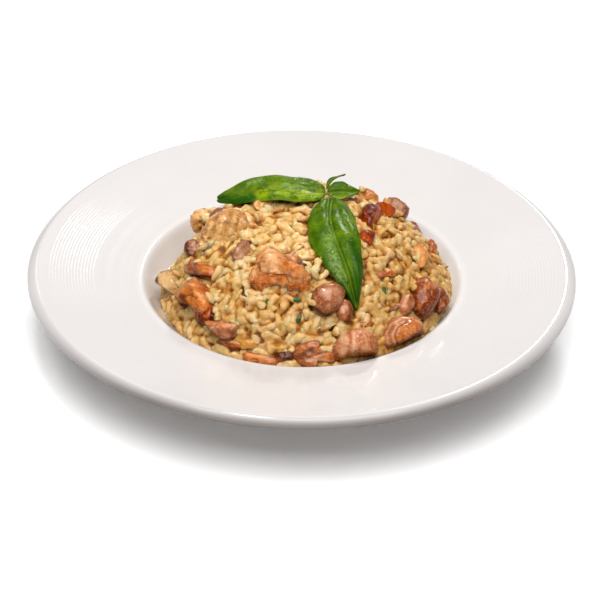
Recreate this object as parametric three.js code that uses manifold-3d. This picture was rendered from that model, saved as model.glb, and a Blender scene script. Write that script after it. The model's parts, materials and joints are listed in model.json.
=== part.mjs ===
// Mushroom risotto in a wide-rimmed pasta plate: a glazed plate, a heap of rice that fills its well,
// pieces of fried mushroom pressed into the heap, and a sprig of basil on top.
// Millimetres, +Z up. The origin is the centre of the foot ring on the table; -Y is the diner's side.
import * as THREE from "three";
import { mergeVertices } from "three/addons/utils/BufferGeometryUtils.js";
import Module from "manifold-3d";

const wasm = await Module();
wasm.setup();

// ---------------------------------------------------------------- driving dimensions
const PLATE_RADIUS = 145;
const WELL_RADIUS = 84.5; // where the rim breaks into the well
const WELL_EDGE_Z = 31; // height of that break above the table
const WELL_DEPTH = 24;
const FLOOR_RADIUS = 38; // flat middle of the well
const WALL_POWER = 2.4; // how late the well's wall turns upwards
const RIM_RISE = 9.4; // from the well's edge to the crest of the lip
const RIM_POWER = 1.2;
const LIP_WIDTH = 5.5; // from the crest outwards
const LIP_DROP = 4; // from the crest down to the lip's lower edge
const SHELL = 5.5; // thickness of wall and rim
const FOOT = { edge: 50.5, inner: 46, relief: 44, rise: 3 }; // three radii and the recess inside the ring
const AROUND = 60; // facets round the plate

const HEAP_TOP_Z = 69; // top of the rice above the table
const HEAP_RADIUS = 77; // where the rice meets the wall of the well
const HEAP_POWER = 3; // how full the dome is
const HOLLOW_ANGLE = 2.62; // the heap is drawn in and steeper here
const GRAIN = { length: 8.8, width: 4, depth: 2.6 }; // depth of the relief between grains
const GRAINS = 640;
const HEAP_RINGS = 21; // rings of the heap's upper net
const GAP = 0.35; // clearance between neighbouring solids
const LEAF_THICKNESS = 0.8;
const LEAF_ACROSS = 4; // facets across a leaf
const LEAF_BROAD_END = 0.72; // below 1, a leaf is broadest nearer its stalk

const TAU = 2 * Math.PI;
const floorZ = WELL_EDGE_Z - WELL_DEPTH;
const crestRadius = PLATE_RADIUS - LIP_WIDTH;
const crestZ = WELL_EDGE_Z + RIM_RISE;

// ---------------------------------------------------------------- helpers
// A repeatable random number from 0 to 1.
function randomFrom(seed) {
  let state = seed;
  return () => {
    state = (state + 0x6d2b79f5) | 0;
    let t = Math.imul(state ^ (state >>> 15), 1 | state);
    t = (t + Math.imul(t ^ (t >>> 7), 61 | t)) ^ t;
    return ((t ^ (t >>> 14)) >>> 0) / 4294967296;
  };
}

function geometryFrom(positions, index) {
  const geometry = new THREE.BufferGeometry();
  geometry.setAttribute("position", new THREE.Float32BufferAttribute(positions, 3));
  geometry.setIndex(index);
  return geometry;
}

function solidOf(geometry, matrix = new THREE.Matrix4()) {
  const bare = geometry.clone();
  for (const name of Object.keys(bare.attributes)) {
    if (name !== "position") bare.deleteAttribute(name);
  }
  const merged = mergeVertices(bare.applyMatrix4(matrix), 1e-4);
  return new wasm.Manifold(
    new wasm.Mesh({
      numProp: 3,
      vertProperties: merged.attributes.position.array,
      triVerts: new Uint32Array(merged.index.array),
    }),
  );
}

function geometryOf(solid) {
  const mesh = solid.getMesh();
  const geometry = new THREE.BufferGeometry();
  geometry.setAttribute("position", new THREE.BufferAttribute(mesh.vertProperties, 3));
  geometry.setIndex(new THREE.BufferAttribute(mesh.triVerts, 1));
  geometry.computeVertexNormals();
  return geometry;
}

// The largest piece of a solid, without scraps cut loose from it.
function largest(solid) {
  return solid.decompose().reduce((a, b) => (a.volume() > b.volume() ? a : b));
}

function boxesMeet(a, b) {
  const [p, q] = [a.boundingBox(), b.boundingBox()];
  return [0, 1, 2].every((i) => p.min[i] < q.max[i] && q.min[i] < p.max[i]);
}

function cutBy(solid, others) {
  return others.reduce((rest, other) => (boxesMeet(rest, other) ? rest.subtract(other) : rest), solid);
}

// ---------------------------------------------------------------- plate
const wallRadii = [52, 63, 72, 79];

function wallZ(r) {
  const share = Math.max(0, r - FLOOR_RADIUS) / (WELL_RADIUS - FLOOR_RADIUS);
  return floorZ + WELL_DEPTH * share ** WALL_POWER;
}

function wallSlope(r) {
  const share = Math.max(0, r - FLOOR_RADIUS) / (WELL_RADIUS - FLOOR_RADIUS);
  return ((WALL_POWER * WELL_DEPTH) / (WELL_RADIUS - FLOOR_RADIUS)) * share ** (WALL_POWER - 1);
}

function rimZ(r) {
  return WELL_EDGE_Z + RIM_RISE * ((r - WELL_RADIUS) / (crestRadius - WELL_RADIUS)) ** RIM_POWER;
}

// Height of the faceted wall of the well, which is straight between the profile's own points.
function facetedWallZ(r) {
  const radii = [0, FLOOR_RADIUS, ...wallRadii, WELL_RADIUS];
  const i = Math.max(1, radii.findIndex((x) => x >= r));
  const share = (r - radii[i - 1]) / (radii[i] - radii[i - 1]);
  return THREE.MathUtils.lerp(wallZ(radii[i - 1]), wallZ(radii[i]), share);
}

function plateGeometry() {
  const top = [
    [0, floorZ],
    [FLOOR_RADIUS, floorZ],
    ...wallRadii.map((r) => [r, wallZ(r)]),
    [WELL_RADIUS + 0.9, WELL_EDGE_Z],
    ...[103, 122].map((r) => [r, rimZ(r)]),
    [crestRadius, crestZ],
  ];
  const lip = [
    [crestRadius + 0.55 * LIP_WIDTH, crestZ - 0.32 * LIP_DROP],
    [PLATE_RADIUS, crestZ - 0.8 * LIP_DROP],
    [crestRadius + 0.75 * LIP_WIDTH, crestZ - LIP_DROP],
  ];
  const under = [
    ...[128, 98].map((r) => [r, rimZ(r) - SHELL]),
    ...[79, 66, 54].map((r) => {
      const slope = wallSlope(r);
      const back = SHELL / Math.hypot(1, slope);
      return [r + back * slope, wallZ(r) - back];
    }),
    [FOOT.edge, 0],
    [FOOT.inner, 0],
    [FOOT.relief, FOOT.rise],
    [0, FOOT.rise],
  ];
  const outline = [...under.reverse(), ...lip.reverse(), ...top.reverse()];
  return new THREE.LatheGeometry(
    outline.map(([r, z]) => new THREE.Vector2(r, z)),
    AROUND,
  ).rotateX(Math.PI / 2);
}

// ---------------------------------------------------------------- heap of rice
// 1 on the side where the heap is drawn in, falling to 0 away from it.
function hollow(angle, width) {
  const away = Math.atan2(Math.sin(angle - HOLLOW_ANGLE), Math.cos(angle - HOLLOW_ANGLE));
  return Math.exp(-((away / width) ** 2));
}

function heapRadius(angle) {
  return HEAP_RADIUS + 2 * Math.cos(angle) - Math.sin(angle) - 6 * hollow(angle, 0.49);
}

// Height of the tops of the grains, as a smooth dome.
function domeZ(x, y) {
  const angle = Math.atan2(y, x);
  const edge = heapRadius(angle);
  const share = Math.min(1, Math.hypot(x, y) / edge);
  const power = HEAP_POWER + 1.2 * hollow(angle, 0.61);
  const edgeZ = facetedWallZ(edge);
  return edgeZ + (HEAP_TOP_Z - edgeZ) * (1 - share ** power);
}

// The spoon's uneven lumps on the dome.
function lumpZ(x, y) {
  const share = Math.min(1, Math.hypot(x, y) / heapRadius(Math.atan2(y, x)));
  const broad = 1.4 * Math.sin(x / 7.3 + 1.1) * Math.cos(y / 6.1 + 0.4);
  const fine = 0.8 * Math.sin((x + y) / 4.3 + 2) * Math.cos((x - y) / 5.3);
  return (broad + fine) * (1 - share ** 4);
}

// Grains spread evenly over the heap by the golden angle, each turned at random.
function scatteredGrains() {
  const random = randomFrom(7);
  const golden = Math.PI * (3 - Math.sqrt(5));
  return Array.from({ length: GRAINS }, (_, i) => {
    const angle = (i * golden) % TAU;
    const r = (heapRadius(angle) - 3) * ((i + 0.5) / GRAINS) ** 0.46;
    const [x, y] = [r * Math.cos(angle) + 2 * random() - 1, r * Math.sin(angle) + 2 * random() - 1];
    return { x, y, turn: TAU * random(), size: 0.85 + 0.3 * random() };
  });
}

// Height of the highest grain over a point, above the hollows between grains.
function grainRelief(grains, x, y) {
  let highest = 0;
  for (const grain of grains) {
    const [dx, dy] = [x - grain.x, y - grain.y];
    if (Math.abs(dx) > GRAIN.length || Math.abs(dy) > GRAIN.length) continue;
    const along = dx * Math.cos(grain.turn) + dy * Math.sin(grain.turn);
    const across = dy * Math.cos(grain.turn) - dx * Math.sin(grain.turn);
    const off = (2 * along) / (GRAIN.length * grain.size);
    const side = (2 * across) / (GRAIN.width * grain.size);
    const inside = 1 - off ** 2 - side ** 2;
    if (inside > 0) highest = Math.max(highest, GRAIN.depth * grain.size * Math.sqrt(inside));
  }
  return highest;
}

function ring(share, count, height) {
  return Array.from({ length: count }, (_, k) => {
    const angle = (k / count) * TAU;
    const r = share * heapRadius(angle);
    return [r * Math.cos(angle), r * Math.sin(angle), height(r * Math.cos(angle), r * Math.sin(angle), r)];
  });
}

// Joins two rings of any number of points; the first lies above or outside the second.
function bridge(index, first, second) {
  let [i, j] = [0, 0];
  while (i < first.count || j < second.count) {
    const a = first.start + (i % first.count);
    const b = second.start + (j % second.count);
    const firstIsBehind = i < first.count && (i + 0.5) / first.count < (j + 0.5) / second.count;
    const stepFirst = j === second.count || firstIsBehind;
    if (stepFirst) index.push(a, b, first.start + (++i % first.count));
    else index.push(a, b, second.start + (++j % second.count));
  }
}

// The heap: an even net with the relief of the grains above, and a coarser net along the well below.
function heapSolid() {
  const grains = scatteredGrains();
  const surface = (x, y) => {
    const share = Math.hypot(x, y) / heapRadius(Math.atan2(y, x));
    const sunk = GRAIN.depth * (1 - share ** 6);
    return domeZ(x, y) + lumpZ(x, y) - sunk + grainRelief(grains, x, y) * (1 - share ** 12) + GAP;
  };
  const onWall = (x, y, r) => facetedWallZ(r) + GAP * Math.hypot(1, wallSlope(r));
  const rings = [[[0, 0, surface(0, 0)]]];
  for (let k = 1; k < HEAP_RINGS; k++) rings.push(ring((k / HEAP_RINGS) ** 0.87, 6 * k, surface));
  rings.push(ring(1, 6 * HEAP_RINGS, onWall), ring(0.9, AROUND, onWall));
  rings.push(ring(0.72, AROUND / 2, onWall), ring(0.5, AROUND / 2, onWall), [[0, 0, floorZ + GAP]]);
  const index = [];
  let start = 0;
  const spans = rings.map((points) => {
    start += points.length;
    return { start: start - points.length, count: points.length };
  });
  for (let k = 0; k + 1 < rings.length; k++) bridge(index, spans[k], spans[k + 1]);
  return solidOf(geometryFrom(rings.flat(2), index));
}

// A frame standing on the heap: Z leaves the dome squarely, X points to the heading, then it is tipped.
function frameOnHeap({ at: [x, y], heading = 0, roll = 0, pitch = 0, lift = 0 }) {
  const step = 6;
  const normal = new THREE.Vector3(
    (domeZ(x - step, y) - domeZ(x + step, y)) / (2 * step),
    (domeZ(x, y - step) - domeZ(x, y + step)) / (2 * step),
    1,
  ).normalize();
  const ahead = new THREE.Vector3(Math.cos(heading), Math.sin(heading), 0);
  const side = new THREE.Vector3().crossVectors(normal, ahead).normalize();
  const along = new THREE.Vector3().crossVectors(side, normal);
  const basis = new THREE.Matrix4().makeBasis(along, side, normal);
  const tip = new THREE.Matrix4().makeRotationFromEuler(new THREE.Euler(roll, pitch, 0));
  const place = new THREE.Vector3(x, y, domeZ(x, y)).addScaledVector(normal, lift);
  return new THREE.Matrix4().makeTranslation(place).multiply(basis).multiply(tip);
}

// ---------------------------------------------------------------- mushrooms
// The forms that frying and cutting leave. square: 2 is round and 4 boxy. taper narrows the far end,
// bend drops both ends, and each cut is a flat face: its direction and its distance from the middle.
const below = [0, 0, -1, 0.6];
const forms = {
  cap: { square: 2, taper: 0.15, bend: 0, cuts: [below] },
  half: { square: 2.2, taper: 0.1, bend: 0.05, cuts: [below, [0, -1, 0.25, 0.35]] },
  wedge: { square: 2.4, taper: 0.55, bend: 0, cuts: [below, [0, -0.8, 0.6, 0.4]] },
  stem: { square: 3, taper: 0.2, bend: 0.05, cuts: [below] },
  strip: { square: 3.2, taper: 0.25, bend: 0.25, cuts: [below] },
};

// A lump of the piece's size in one of the forms.
function lumpGeometry({ size, form, seed }, grow) {
  const { square, taper, bend, cuts } = forms[form];
  const geometry = new THREE.SphereGeometry(1, 8, 5).rotateX(Math.PI / 2);
  const position = geometry.attributes.position;
  const p = new THREE.Vector3();
  for (let i = 0; i < position.count; i++) {
    p.fromBufferAttribute(position, i);
    const norm = Math.abs(p.x) ** square + Math.abs(p.y) ** square + Math.abs(p.z) ** square;
    const dent = Math.sin(3.1 * p.x + 2.3 * p.y + seed) * Math.cos(2.7 * p.z - 1.9 * p.y + 2 * seed);
    const wave = 1 + 0.09 * dent;
    p.multiplyScalar(wave * norm ** (-1 / square));
    for (const [x, y, z, reach] of cuts) {
      const normal = new THREE.Vector3(x, y, z).normalize();
      p.addScaledVector(normal, -Math.max(0, p.dot(normal) - reach));
    }
    p.y *= 1 - (taper * (p.x + 1)) / 2;
    p.z -= bend * p.x ** 2;
    p.multiply(new THREE.Vector3(...size).multiplyScalar(0.5).addScalar(grow));
    position.setXYZ(i, p.x, p.y, p.z);
  }
  return geometry;
}

// A slice through cap and stem, lying flat with its ends drooping.
function sliceGeometry({ size }, grow) {
  const [length, width, height] = size.map((s) => s + 2 * grow);
  const shape = new THREE.Shape();
  const capBase = -0.08 * length;
  const stem = 0.2 * width;
  shape.moveTo(-length / 2, -stem);
  shape.lineTo(capBase, -stem);
  for (let i = 0; i <= 8; i++) {
    const angle = -Math.PI / 2 + (Math.PI * i) / 8;
    shape.lineTo(capBase + (length / 2 - capBase) * Math.cos(angle), (width / 2) * Math.sin(angle));
  }
  shape.lineTo(capBase, stem);
  shape.lineTo(-length / 2, stem);
  const geometry = new THREE.ExtrudeGeometry(shape, { depth: height, bevelEnabled: false });
  geometry.translate(0, 0, -height / 2);
  const position = geometry.attributes.position;
  for (let i = 0; i < position.count; i++) {
    position.setZ(i, position.getZ(i) - (0.5 * height * position.getX(i) ** 2) / (length / 2) ** 2);
  }
  return geometry;
}

// Where each piece lies: at is x, y on the heap, size is length, width and height, angles are in radians.
const mushrooms = {
  cap_front: { form: "cap", at: [13, -55.5], size: [19, 16.5, 14.5], heading: 0.9, lift: 3.2 },
  stem_front: { form: "stem", at: [21.5, -58.5], size: [11.5, 9, 9], heading: 1.7, lift: 1.2 },
  folded_front: { form: "half", at: [27, -69.5], size: [23, 21, 21], heading: 0.1, lift: 4.2 },
  ringed_right: { form: "half", at: [50.5, -56], size: [25, 20, 17], heading: 0.5, lift: 3 },
  lobed_right: { form: "cap", at: [61, -33.5], size: [23, 17, 17], heading: -1.3, lift: 2.5 },
  lobe_right: { form: "cap", at: [69, -28], size: [16, 12, 13], heading: -1.3, lift: 2.5 },
  stem_right: { form: "stem", at: [53, -43], size: [13, 8, 8], heading: 1.5, lift: 1 },
  slice_front: { form: "slice", at: [7, -74], size: [22, 15, 6], heading: 3.0, lift: 1.5 },
  dark_front: { form: "stem", at: [-8, -74], size: [10, 7, 6], heading: 0, lift: 0 },
  strip_front: { form: "strip", at: [-20, -73], size: [20, 8, 7], heading: -0.2, lift: 1 },
  onion_front: { form: "strip", at: [-26, -67], size: [11, 6, 4], heading: 0.1, lift: 1 },
  pointed_front: { form: "wedge", at: [-39.5, -56.5], size: [20, 16, 13], heading: 2.7, lift: 2 },
  strip_left: { form: "strip", at: [-36, -63], size: [16, 6, 5], heading: -0.4, lift: 0.5 },
  browned_left: { form: "half", at: [-54, -38.5], size: [27, 23, 15], heading: -0.8, lift: 2.2 },
  lobe_left: { form: "cap", at: [-47.5, -48.5], size: [14, 12, 10], heading: -0.5, lift: 1 },
  pale_left: { form: "half", at: [-68, -13.5], size: [21, 17, 14], heading: -0.7, lift: 2.5 },
  amber_left: { form: "strip", at: [-51.5, -25], size: [26, 10, 9], heading: -0.6, lift: 0.8 },
  mauve_left: { form: "strip", at: [-52, -33], size: [14, 6, 5], heading: -0.6, lift: 0 },
  craggy_middle: { form: "half", at: [-10.5, -46], size: [32, 30, 15], heading: -0.2, lift: 1.2 },
  mauve_middle: { form: "wedge", at: [-30, -27], size: [14, 13, 9], heading: 0.6, lift: 0.5 },
  gilled_left: { form: "half", at: [-41, -8], size: [28, 29, 12], heading: 0.1, lift: 1.2 },
  cap_far_left: { form: "cap", at: [-57, -4], size: [11, 9, 9], heading: 1.4, lift: 1 },
  pink_far_left: { form: "wedge", at: [-50, 20], size: [16, 15, 12], heading: 1.2, lift: 4 },
  mauve_far_left: { form: "cap", at: [-44, 9], size: [11, 9, 8], heading: 0.3, lift: 1 },
  tan_under_leaf: { form: "wedge", at: [-21, 8], size: [10, 9, 7], heading: 0.4, lift: 1 },
  glazed_top: { form: "half", at: [36.5, 3], size: [19, 14, 11], heading: 1.2, lift: 1.5 },
  amber_top: { form: "wedge", at: [43, 17], size: [12, 11, 9], heading: 0.4, lift: 1.5 },
  amber_bit_top: { form: "stem", at: [33, -16.5], size: [11, 9, 7], heading: 1.4, lift: 0.5 },
  mauve_bit_top: { form: "cap", at: [27, 17], size: [8, 7, 6], heading: 0.2, lift: 0 },
  amber_crest: { form: "wedge", at: [34, 29], size: [13, 10, 9], heading: 0.2, lift: 2 },
  cap_crest: { form: "cap", at: [49, 32], size: [16, 13, 12], heading: -0.7, lift: 3 },
  peach_right: { form: "wedge", at: [61.5, -8], size: [16, 11, 9], heading: -1.3, lift: 1 },
  strip_right: { form: "strip", at: [68, 16], size: [14, 6, 6], heading: 1.6, lift: 2 },
  brown_bit_right: { form: "strip", at: [43, -35], size: [12, 5, 5], heading: 0.3, lift: 0.5 },
  grey_bit_right: { form: "wedge", at: [48, -48], size: [10, 7, 6], heading: 0.8, lift: 0 },
  thin_bit_front: { form: "strip", at: [33, -60], size: [11, 4, 4], heading: 0.1, lift: 0.5 },
  cap_back: { form: "cap", at: [4, 56], size: [19, 16, 10], heading: 0.4, lift: 0 },
  half_back_left: { form: "half", at: [-29, 52], size: [20, 16, 12], heading: 2.9, lift: 1.5 },
  slice_back_right: { form: "slice", at: [33, 56], size: [22, 17, 6], heading: 0.9, lift: 1 },
  wedge_back: { form: "wedge", at: [-9, 68], size: [16, 12, 10], heading: 2, lift: 1 },
  stem_back_left: { form: "stem", at: [-50, 38], size: [15, 9, 8], heading: 0.7, lift: 0.5 },
  cap_back_right: { form: "cap", at: [59, 42], size: [14, 12, 10], heading: 2.4, lift: 0.5 },
};

function mushroomSolid(piece, grow) {
  const geometry = piece.form === "slice" ? sliceGeometry(piece, grow) : lumpGeometry(piece, grow);
  return solidOf(geometry, frameOnHeap(piece));
}

// ---------------------------------------------------------------- basil
// A leaf follows its spine from stalk to tip. side points across it, and fold lifts its edges. The lower
// blunt is, at the stalk and at the tip, the rounder that end of the outline.
const leaves = {
  basil_leaf_front: {
    spine: [[15.2, 10.5, 71.6], [14.6, -9, 72], [17.3, -27, 69.6], [23, -43, 62.5], [28.3, -57.5, 47.8]],
    side: [1, 0.12, 0.1],
    halfWidth: 12.9,
    blunt: [0.5, 0.85],
    fold: -0.12,
    steps: 10,
  },
  basil_leaf_left: {
    spine: [[11.5, 17, 71], [-3, 18.5, 72], [-18, 19.5, 71.6], [-32, 20.5, 68.4], [-45, 20.5, 63.6]],
    side: [0.05, 1, 0.05],
    halfWidth: 12.6,
    blunt: [0.5, 0.4],
    fold: 0.08,
    steps: 10,
  },
  basil_leaf_small: {
    spine: [[13, 17.5, 71.3], [18.5, 18, 72], [24.5, 18.5, 71.8], [30, 19.5, 70.5]],
    side: [-0.2, 1, 0.3],
    halfWidth: 6,
    blunt: [0.6, 0.8],
    fold: 0.15,
    steps: 6,
  },
  basil_shoot: {
    spine: [[12.5, 24, 73.2], [15, 25.5, 75.3], [19, 26.5, 76.6], [22.5, 27.5, 77]],
    side: [-0.2, 1, 0.5],
    halfWidth: 1.8,
    blunt: [0.7, 0.7],
    fold: 0.2,
    steps: 4,
  },
};

function leafSolid({ spine, side, halfWidth, blunt, fold, steps }, grow = 0) {
  const curve = new THREE.CatmullRomCurve3(spine.map((p) => new THREE.Vector3(...p)));
  const across = new THREE.Vector3(...side).normalize();
  const positions = [];
  for (let i = 0; i <= steps; i++) {
    const share = i / steps;
    const tangent = curve.getTangent(share);
    const up = new THREE.Vector3().crossVectors(tangent, across).normalize();
    if (up.z < 0) up.negate();
    const sideways = new THREE.Vector3().crossVectors(tangent, up).normalize();
    const swell = Math.sin(Math.PI * (0.01 + 0.97 * share) ** LEAF_BROAD_END);
    const width = (halfWidth + grow) * Math.max(0.06, swell ** THREE.MathUtils.lerp(...blunt, share));
    for (let j = 0; j <= LEAF_ACROSS; j++) {
      const v = (2 * j) / LEAF_ACROSS - 1;
      const rise = (fold * halfWidth + 0.6 * Math.sin(9 * share + 2 * v)) * v * v;
      for (const face of [1, -1]) {
        const p = curve.getPoint(share).addScaledVector(sideways, v * width);
        positions.push(...p.addScaledVector(up, rise + face * (LEAF_THICKNESS / 2 + grow)));
      }
    }
  }
  const at = (i, j, face) => 2 * (i * (LEAF_ACROSS + 1) + j) + face;
  const index = [];
  const quad = (a, b, c, d) => index.push(a, b, c, a, c, d);
  for (let i = 0; i < steps; i++) {
    for (let j = 0; j < LEAF_ACROSS; j++) {
      quad(at(i, j, 0), at(i, j + 1, 0), at(i + 1, j + 1, 0), at(i + 1, j, 0));
      const [a, b, c, d] = [at(i, j, 1), at(i, j + 1, 1), at(i + 1, j + 1, 1), at(i + 1, j, 1)];
      index.push(a, c, b, a, d, c);
    }
    quad(at(i, 0, 1), at(i, 0, 0), at(i + 1, 0, 0), at(i + 1, 0, 1));
    quad(at(i, LEAF_ACROSS, 0), at(i, LEAF_ACROSS, 1), at(i + 1, LEAF_ACROSS, 1), at(i + 1, LEAF_ACROSS, 0));
  }
  for (let j = 0; j < LEAF_ACROSS; j++) {
    quad(at(0, j, 1), at(0, j + 1, 1), at(0, j + 1, 0), at(0, j, 0));
    quad(at(steps, j, 0), at(steps, j + 1, 0), at(steps, j + 1, 1), at(steps, j, 1));
  }
  return solidOf(geometryFrom(positions, index));
}

// ---------------------------------------------------------------- herb flecks
const herbs = [[-2, -56], [-1, -63], [69, -15], [-18, -55], [42, -43], [-34, 30], [18, 44], [-10, 40]];

function herbSolid(at, i) {
  const frame = frameOnHeap({ at, heading: 1.3 * i, roll: 0.3, lift: lumpZ(...at) - 1.4 });
  return solidOf(new THREE.BoxGeometry(4, 2.6, 4), frame);
}

// ---------------------------------------------------------------- assembly
const materials = {
  glaze: new THREE.MeshStandardMaterial({ color: 0xf4f1ec, roughness: 0.15 }),
  rice: new THREE.MeshStandardMaterial({ color: 0xd9bc84, roughness: 0.35 }),
  mushroom: new THREE.MeshStandardMaterial({ color: 0xa9704a, roughness: 0.35 }),
  onion: new THREE.MeshStandardMaterial({ color: 0xc9953f, roughness: 0.25 }),
  basil: new THREE.MeshStandardMaterial({ color: 0x3f7d1c, roughness: 0.45 }),
};

const risottoPlate = new THREE.Group();
function add(name, geometry, material) {
  const mesh = new THREE.Mesh(geometry, material);
  mesh.name = name;
  risottoPlate.add(mesh);
}

add("plate", plateGeometry(), materials.glaze);

// The leaves come first, then each piece of mushroom is cut clear of what was laid before it.
const laid = [solidOf(plateGeometry(), new THREE.Matrix4().makeTranslation(0, 0, 2 * GAP))];
for (const [name, leaf] of Object.entries(leaves)) {
  add(name, geometryOf(largest(cutBy(leafSolid(leaf), laid))), materials.basil);
  laid.push(leafSolid(leaf, GAP));
}
Object.entries(mushrooms).forEach(([name, piece], seed) => {
  const solid = largest(cutBy(mushroomSolid({ ...piece, seed }, 0), laid));
  const isOnion = name.startsWith("onion");
  add(isOnion ? name : `mushroom_${name}`, geometryOf(solid), isOnion ? materials.onion : materials.mushroom);
  laid.push(mushroomSolid({ ...piece, seed }, GAP));
});

// The rice takes the herb flecks that lie on it and gives way to everything laid in it.
const rice = herbs.map(herbSolid).reduce((heap, fleck) => heap.add(fleck), heapSolid());
add("risotto", geometryOf(largest(cutBy(rice, laid.slice(1)))), materials.rice);

export default risottoPlate;
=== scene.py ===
"""Mushroom risotto in a wide-rimmed pasta plate: its looks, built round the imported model.

Blender works in metres. Shapes are worked out in millimetres and scaled where their mesh is made.
The origin is the centre of the foot ring on the table, +Z is up and -Y is the diner's side.
"""

import functools
import json
import math

import bmesh
import bpy
import numpy as np
from mathutils import Matrix, Vector, noise
from mathutils.bvhtree import BVHTree

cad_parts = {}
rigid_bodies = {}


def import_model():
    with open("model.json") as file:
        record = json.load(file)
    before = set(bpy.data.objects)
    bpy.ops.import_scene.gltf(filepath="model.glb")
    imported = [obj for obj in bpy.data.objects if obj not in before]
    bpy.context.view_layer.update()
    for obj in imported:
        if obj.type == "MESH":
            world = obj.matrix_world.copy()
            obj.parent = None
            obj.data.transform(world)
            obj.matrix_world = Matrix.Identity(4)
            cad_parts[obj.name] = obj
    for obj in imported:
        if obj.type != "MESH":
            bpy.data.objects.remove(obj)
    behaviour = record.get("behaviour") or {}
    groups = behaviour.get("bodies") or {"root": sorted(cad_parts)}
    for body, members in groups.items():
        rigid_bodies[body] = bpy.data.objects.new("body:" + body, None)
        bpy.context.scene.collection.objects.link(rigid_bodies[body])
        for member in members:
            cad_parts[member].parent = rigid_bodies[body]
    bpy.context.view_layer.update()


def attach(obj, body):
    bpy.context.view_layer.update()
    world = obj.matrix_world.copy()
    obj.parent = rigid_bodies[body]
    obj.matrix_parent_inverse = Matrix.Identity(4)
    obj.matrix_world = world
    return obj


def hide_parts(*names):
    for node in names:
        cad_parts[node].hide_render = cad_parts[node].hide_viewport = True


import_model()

# ---------------------------------------------------------------- driving dimensions, millimetres
MM = 0.001
TAU = 2 * math.pi

PLATE_RADIUS = 145.0
PLATE_SIDES = 320
WELL_RADIUS = 84.5
WELL_EDGE_Z = 31.0
WELL_DEPTH = 24.0
FLOOR_RADIUS = 38.0
FLOOR_Z = WELL_EDGE_Z - WELL_DEPTH
WALL_POWER = 2.4  # above 1, the wall curves up from the floor
RIM_RISE = 9.4
RIM_POWER = 1.2
LIP_WIDTH = 5.5
CREST_RADIUS = PLATE_RADIUS - LIP_WIDTH
CREST_Z = WELL_EDGE_Z + RIM_RISE
SHELL = 5.5  # thickness of the porcelain
FOOT_EDGE, FOOT_INNER, FOOT_RELIEF, FOOT_RISE = 50.5, 46.0, 44.0, 3.0
RIB_FIRST, RIB_LAST, RIBS = 110.0, 134.5, 15
RIB_HEIGHT = 0.04
RIB_POWER = 1.5
BROAD_RINGS = (
    # radius, half width, height
    (104, 3.0, 0.06), (97, 3.0, 0.06), (92.5, 1.6, 0.02), (88, 1.4, 0.015),
)
FLOOR_RINGS = (0.0, 10.0, 24.0)
WALL_RINGS, RIM_RINGS = 26, 190
EDGE_INSIDE, EDGE_OUTSIDE, EDGE_CORNER = 1.4, 1.5, 0.1  # how the well's rounded edge starts, ends and bends
EDGE_STEPS = 7
LIP_SECTION = (
    # outwards and up from the crest: a bevel that falls outwards, and a thin rounded edge
    (0.6, -0.06), (1.2, -0.22), (2.0, -0.6), (3.2, -1.3), (4.2, -1.95), (4.9, -2.5), (5.3, -2.95),
    (5.5, -3.4), (5.4, -3.75), (5.0, -3.95), (4.4, -4.0), (3.4, -4.1),
)
UNDER_LIP, UNDER_LIP_SHELL = 138.0, 4.6  # radius where the underside starts, and the thickness there
UNDER_RIM = (132, 90, 11)  # first and last radius, and rings
UNDER_WELL = (82, 54, 10)
FOOT_SECTION = (
    # radius and height, from outside the foot ring to the middle of the underside
    (FOOT_EDGE + 0.8, 1.2), (FOOT_EDGE + 0.2, 0.3), (FOOT_EDGE - 0.4, 0.0), (FOOT_INNER + 0.4, 0.0),
    (FOOT_INNER - 0.2, 0.3), (FOOT_RELIEF, FOOT_RISE), (20.0, FOOT_RISE), (0.0, FOOT_RISE),
)

HEAP_TOP_Z = 69.0
HEAP_RADIUS = 77.0
HEAP_SHIFT = (2.0, -1.0)  # of the outline from the middle of the plate
HEAP_POWER = 3.0
HEAP_RINGS, HEAP_SIDES = 64, 216
HOLLOW_ANGLE = 2.62  # where the heap is drawn in from the well's wall, in radians from +X
HOLLOW_DEPTH, HOLLOW_WIDTH = 6.0, 0.49
HOLLOW_STEEPER, STEEPER_WIDTH = 1.2, 0.61
BROAD_LUMP, BROAD_WAVE = 1.4, (7.3, 6.1)  # height, and millimetres to the radian
FINE_LUMP, FINE_WAVE = 0.8, (4.3, 5.3)
NET_LIFT, WALL_GAP = 0.2, 0.1  # the net's outline above the dome's, and its least height above the wall
NET_POWER = 0.85  # below 1, the net's rings are closer together near the outline
CORE_SUNK = 5.6
CORE_LIFT = 0.5
CORE_RINGS = (0.93, 0.8, 0.6, 0.4)  # of the core's underside, as shares of the heap's radius

GRAIN_LENGTH = 8.8
GRAIN_WIDTH = 4.0
GRAIN_RINGS, GRAIN_SIDES = 6, 8
GRAIN_END, GRAIN_TAPER, GRAIN_SQUARENESS = 0.9, 2.4, 0.75  # its last rings, its ends and its section
GRAIN_UNEVEN, GRAIN_UNEVEN_SIZE = 0.3, 2.4
CRUMB_UNEVEN, CRUMB_UNEVEN_SIZE = 0.35, 1.1
GRAIN_FORMS = (
    # length, width and thickness as shares of the usual grain, bend in millimetres, chip
    (1.15, 1.0, 0.8, 0.4, 0.1),
    (1.25, 0.95, 0.75, 0.7, 0.0),
    (0.95, 1.15, 0.85, 0.2, 0.3),
    (0.72, 1.15, 0.85, 0.1, 0.6),
    (1.05, 1.0, 0.75, 0.5, 0.35),
    (0.85, 1.2, 0.8, 0.0, 0.45),
    (1.15, 0.9, 0.75, 0.8, 0.2),
    (0.6, 1.0, 0.8, 0.1, 0.1),
)
CRUMB_FORMS = (((1.6, 1.0, 0.6), 3), ((1.1, 0.9, 0.6), 5), ((2.4, 0.9, 0.6), 8))  # size and seed

LEAF_THICKNESS = 0.6
LEAF_BROAD_END = 0.72  # below 1, a leaf is broadest nearer its stalk


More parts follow.
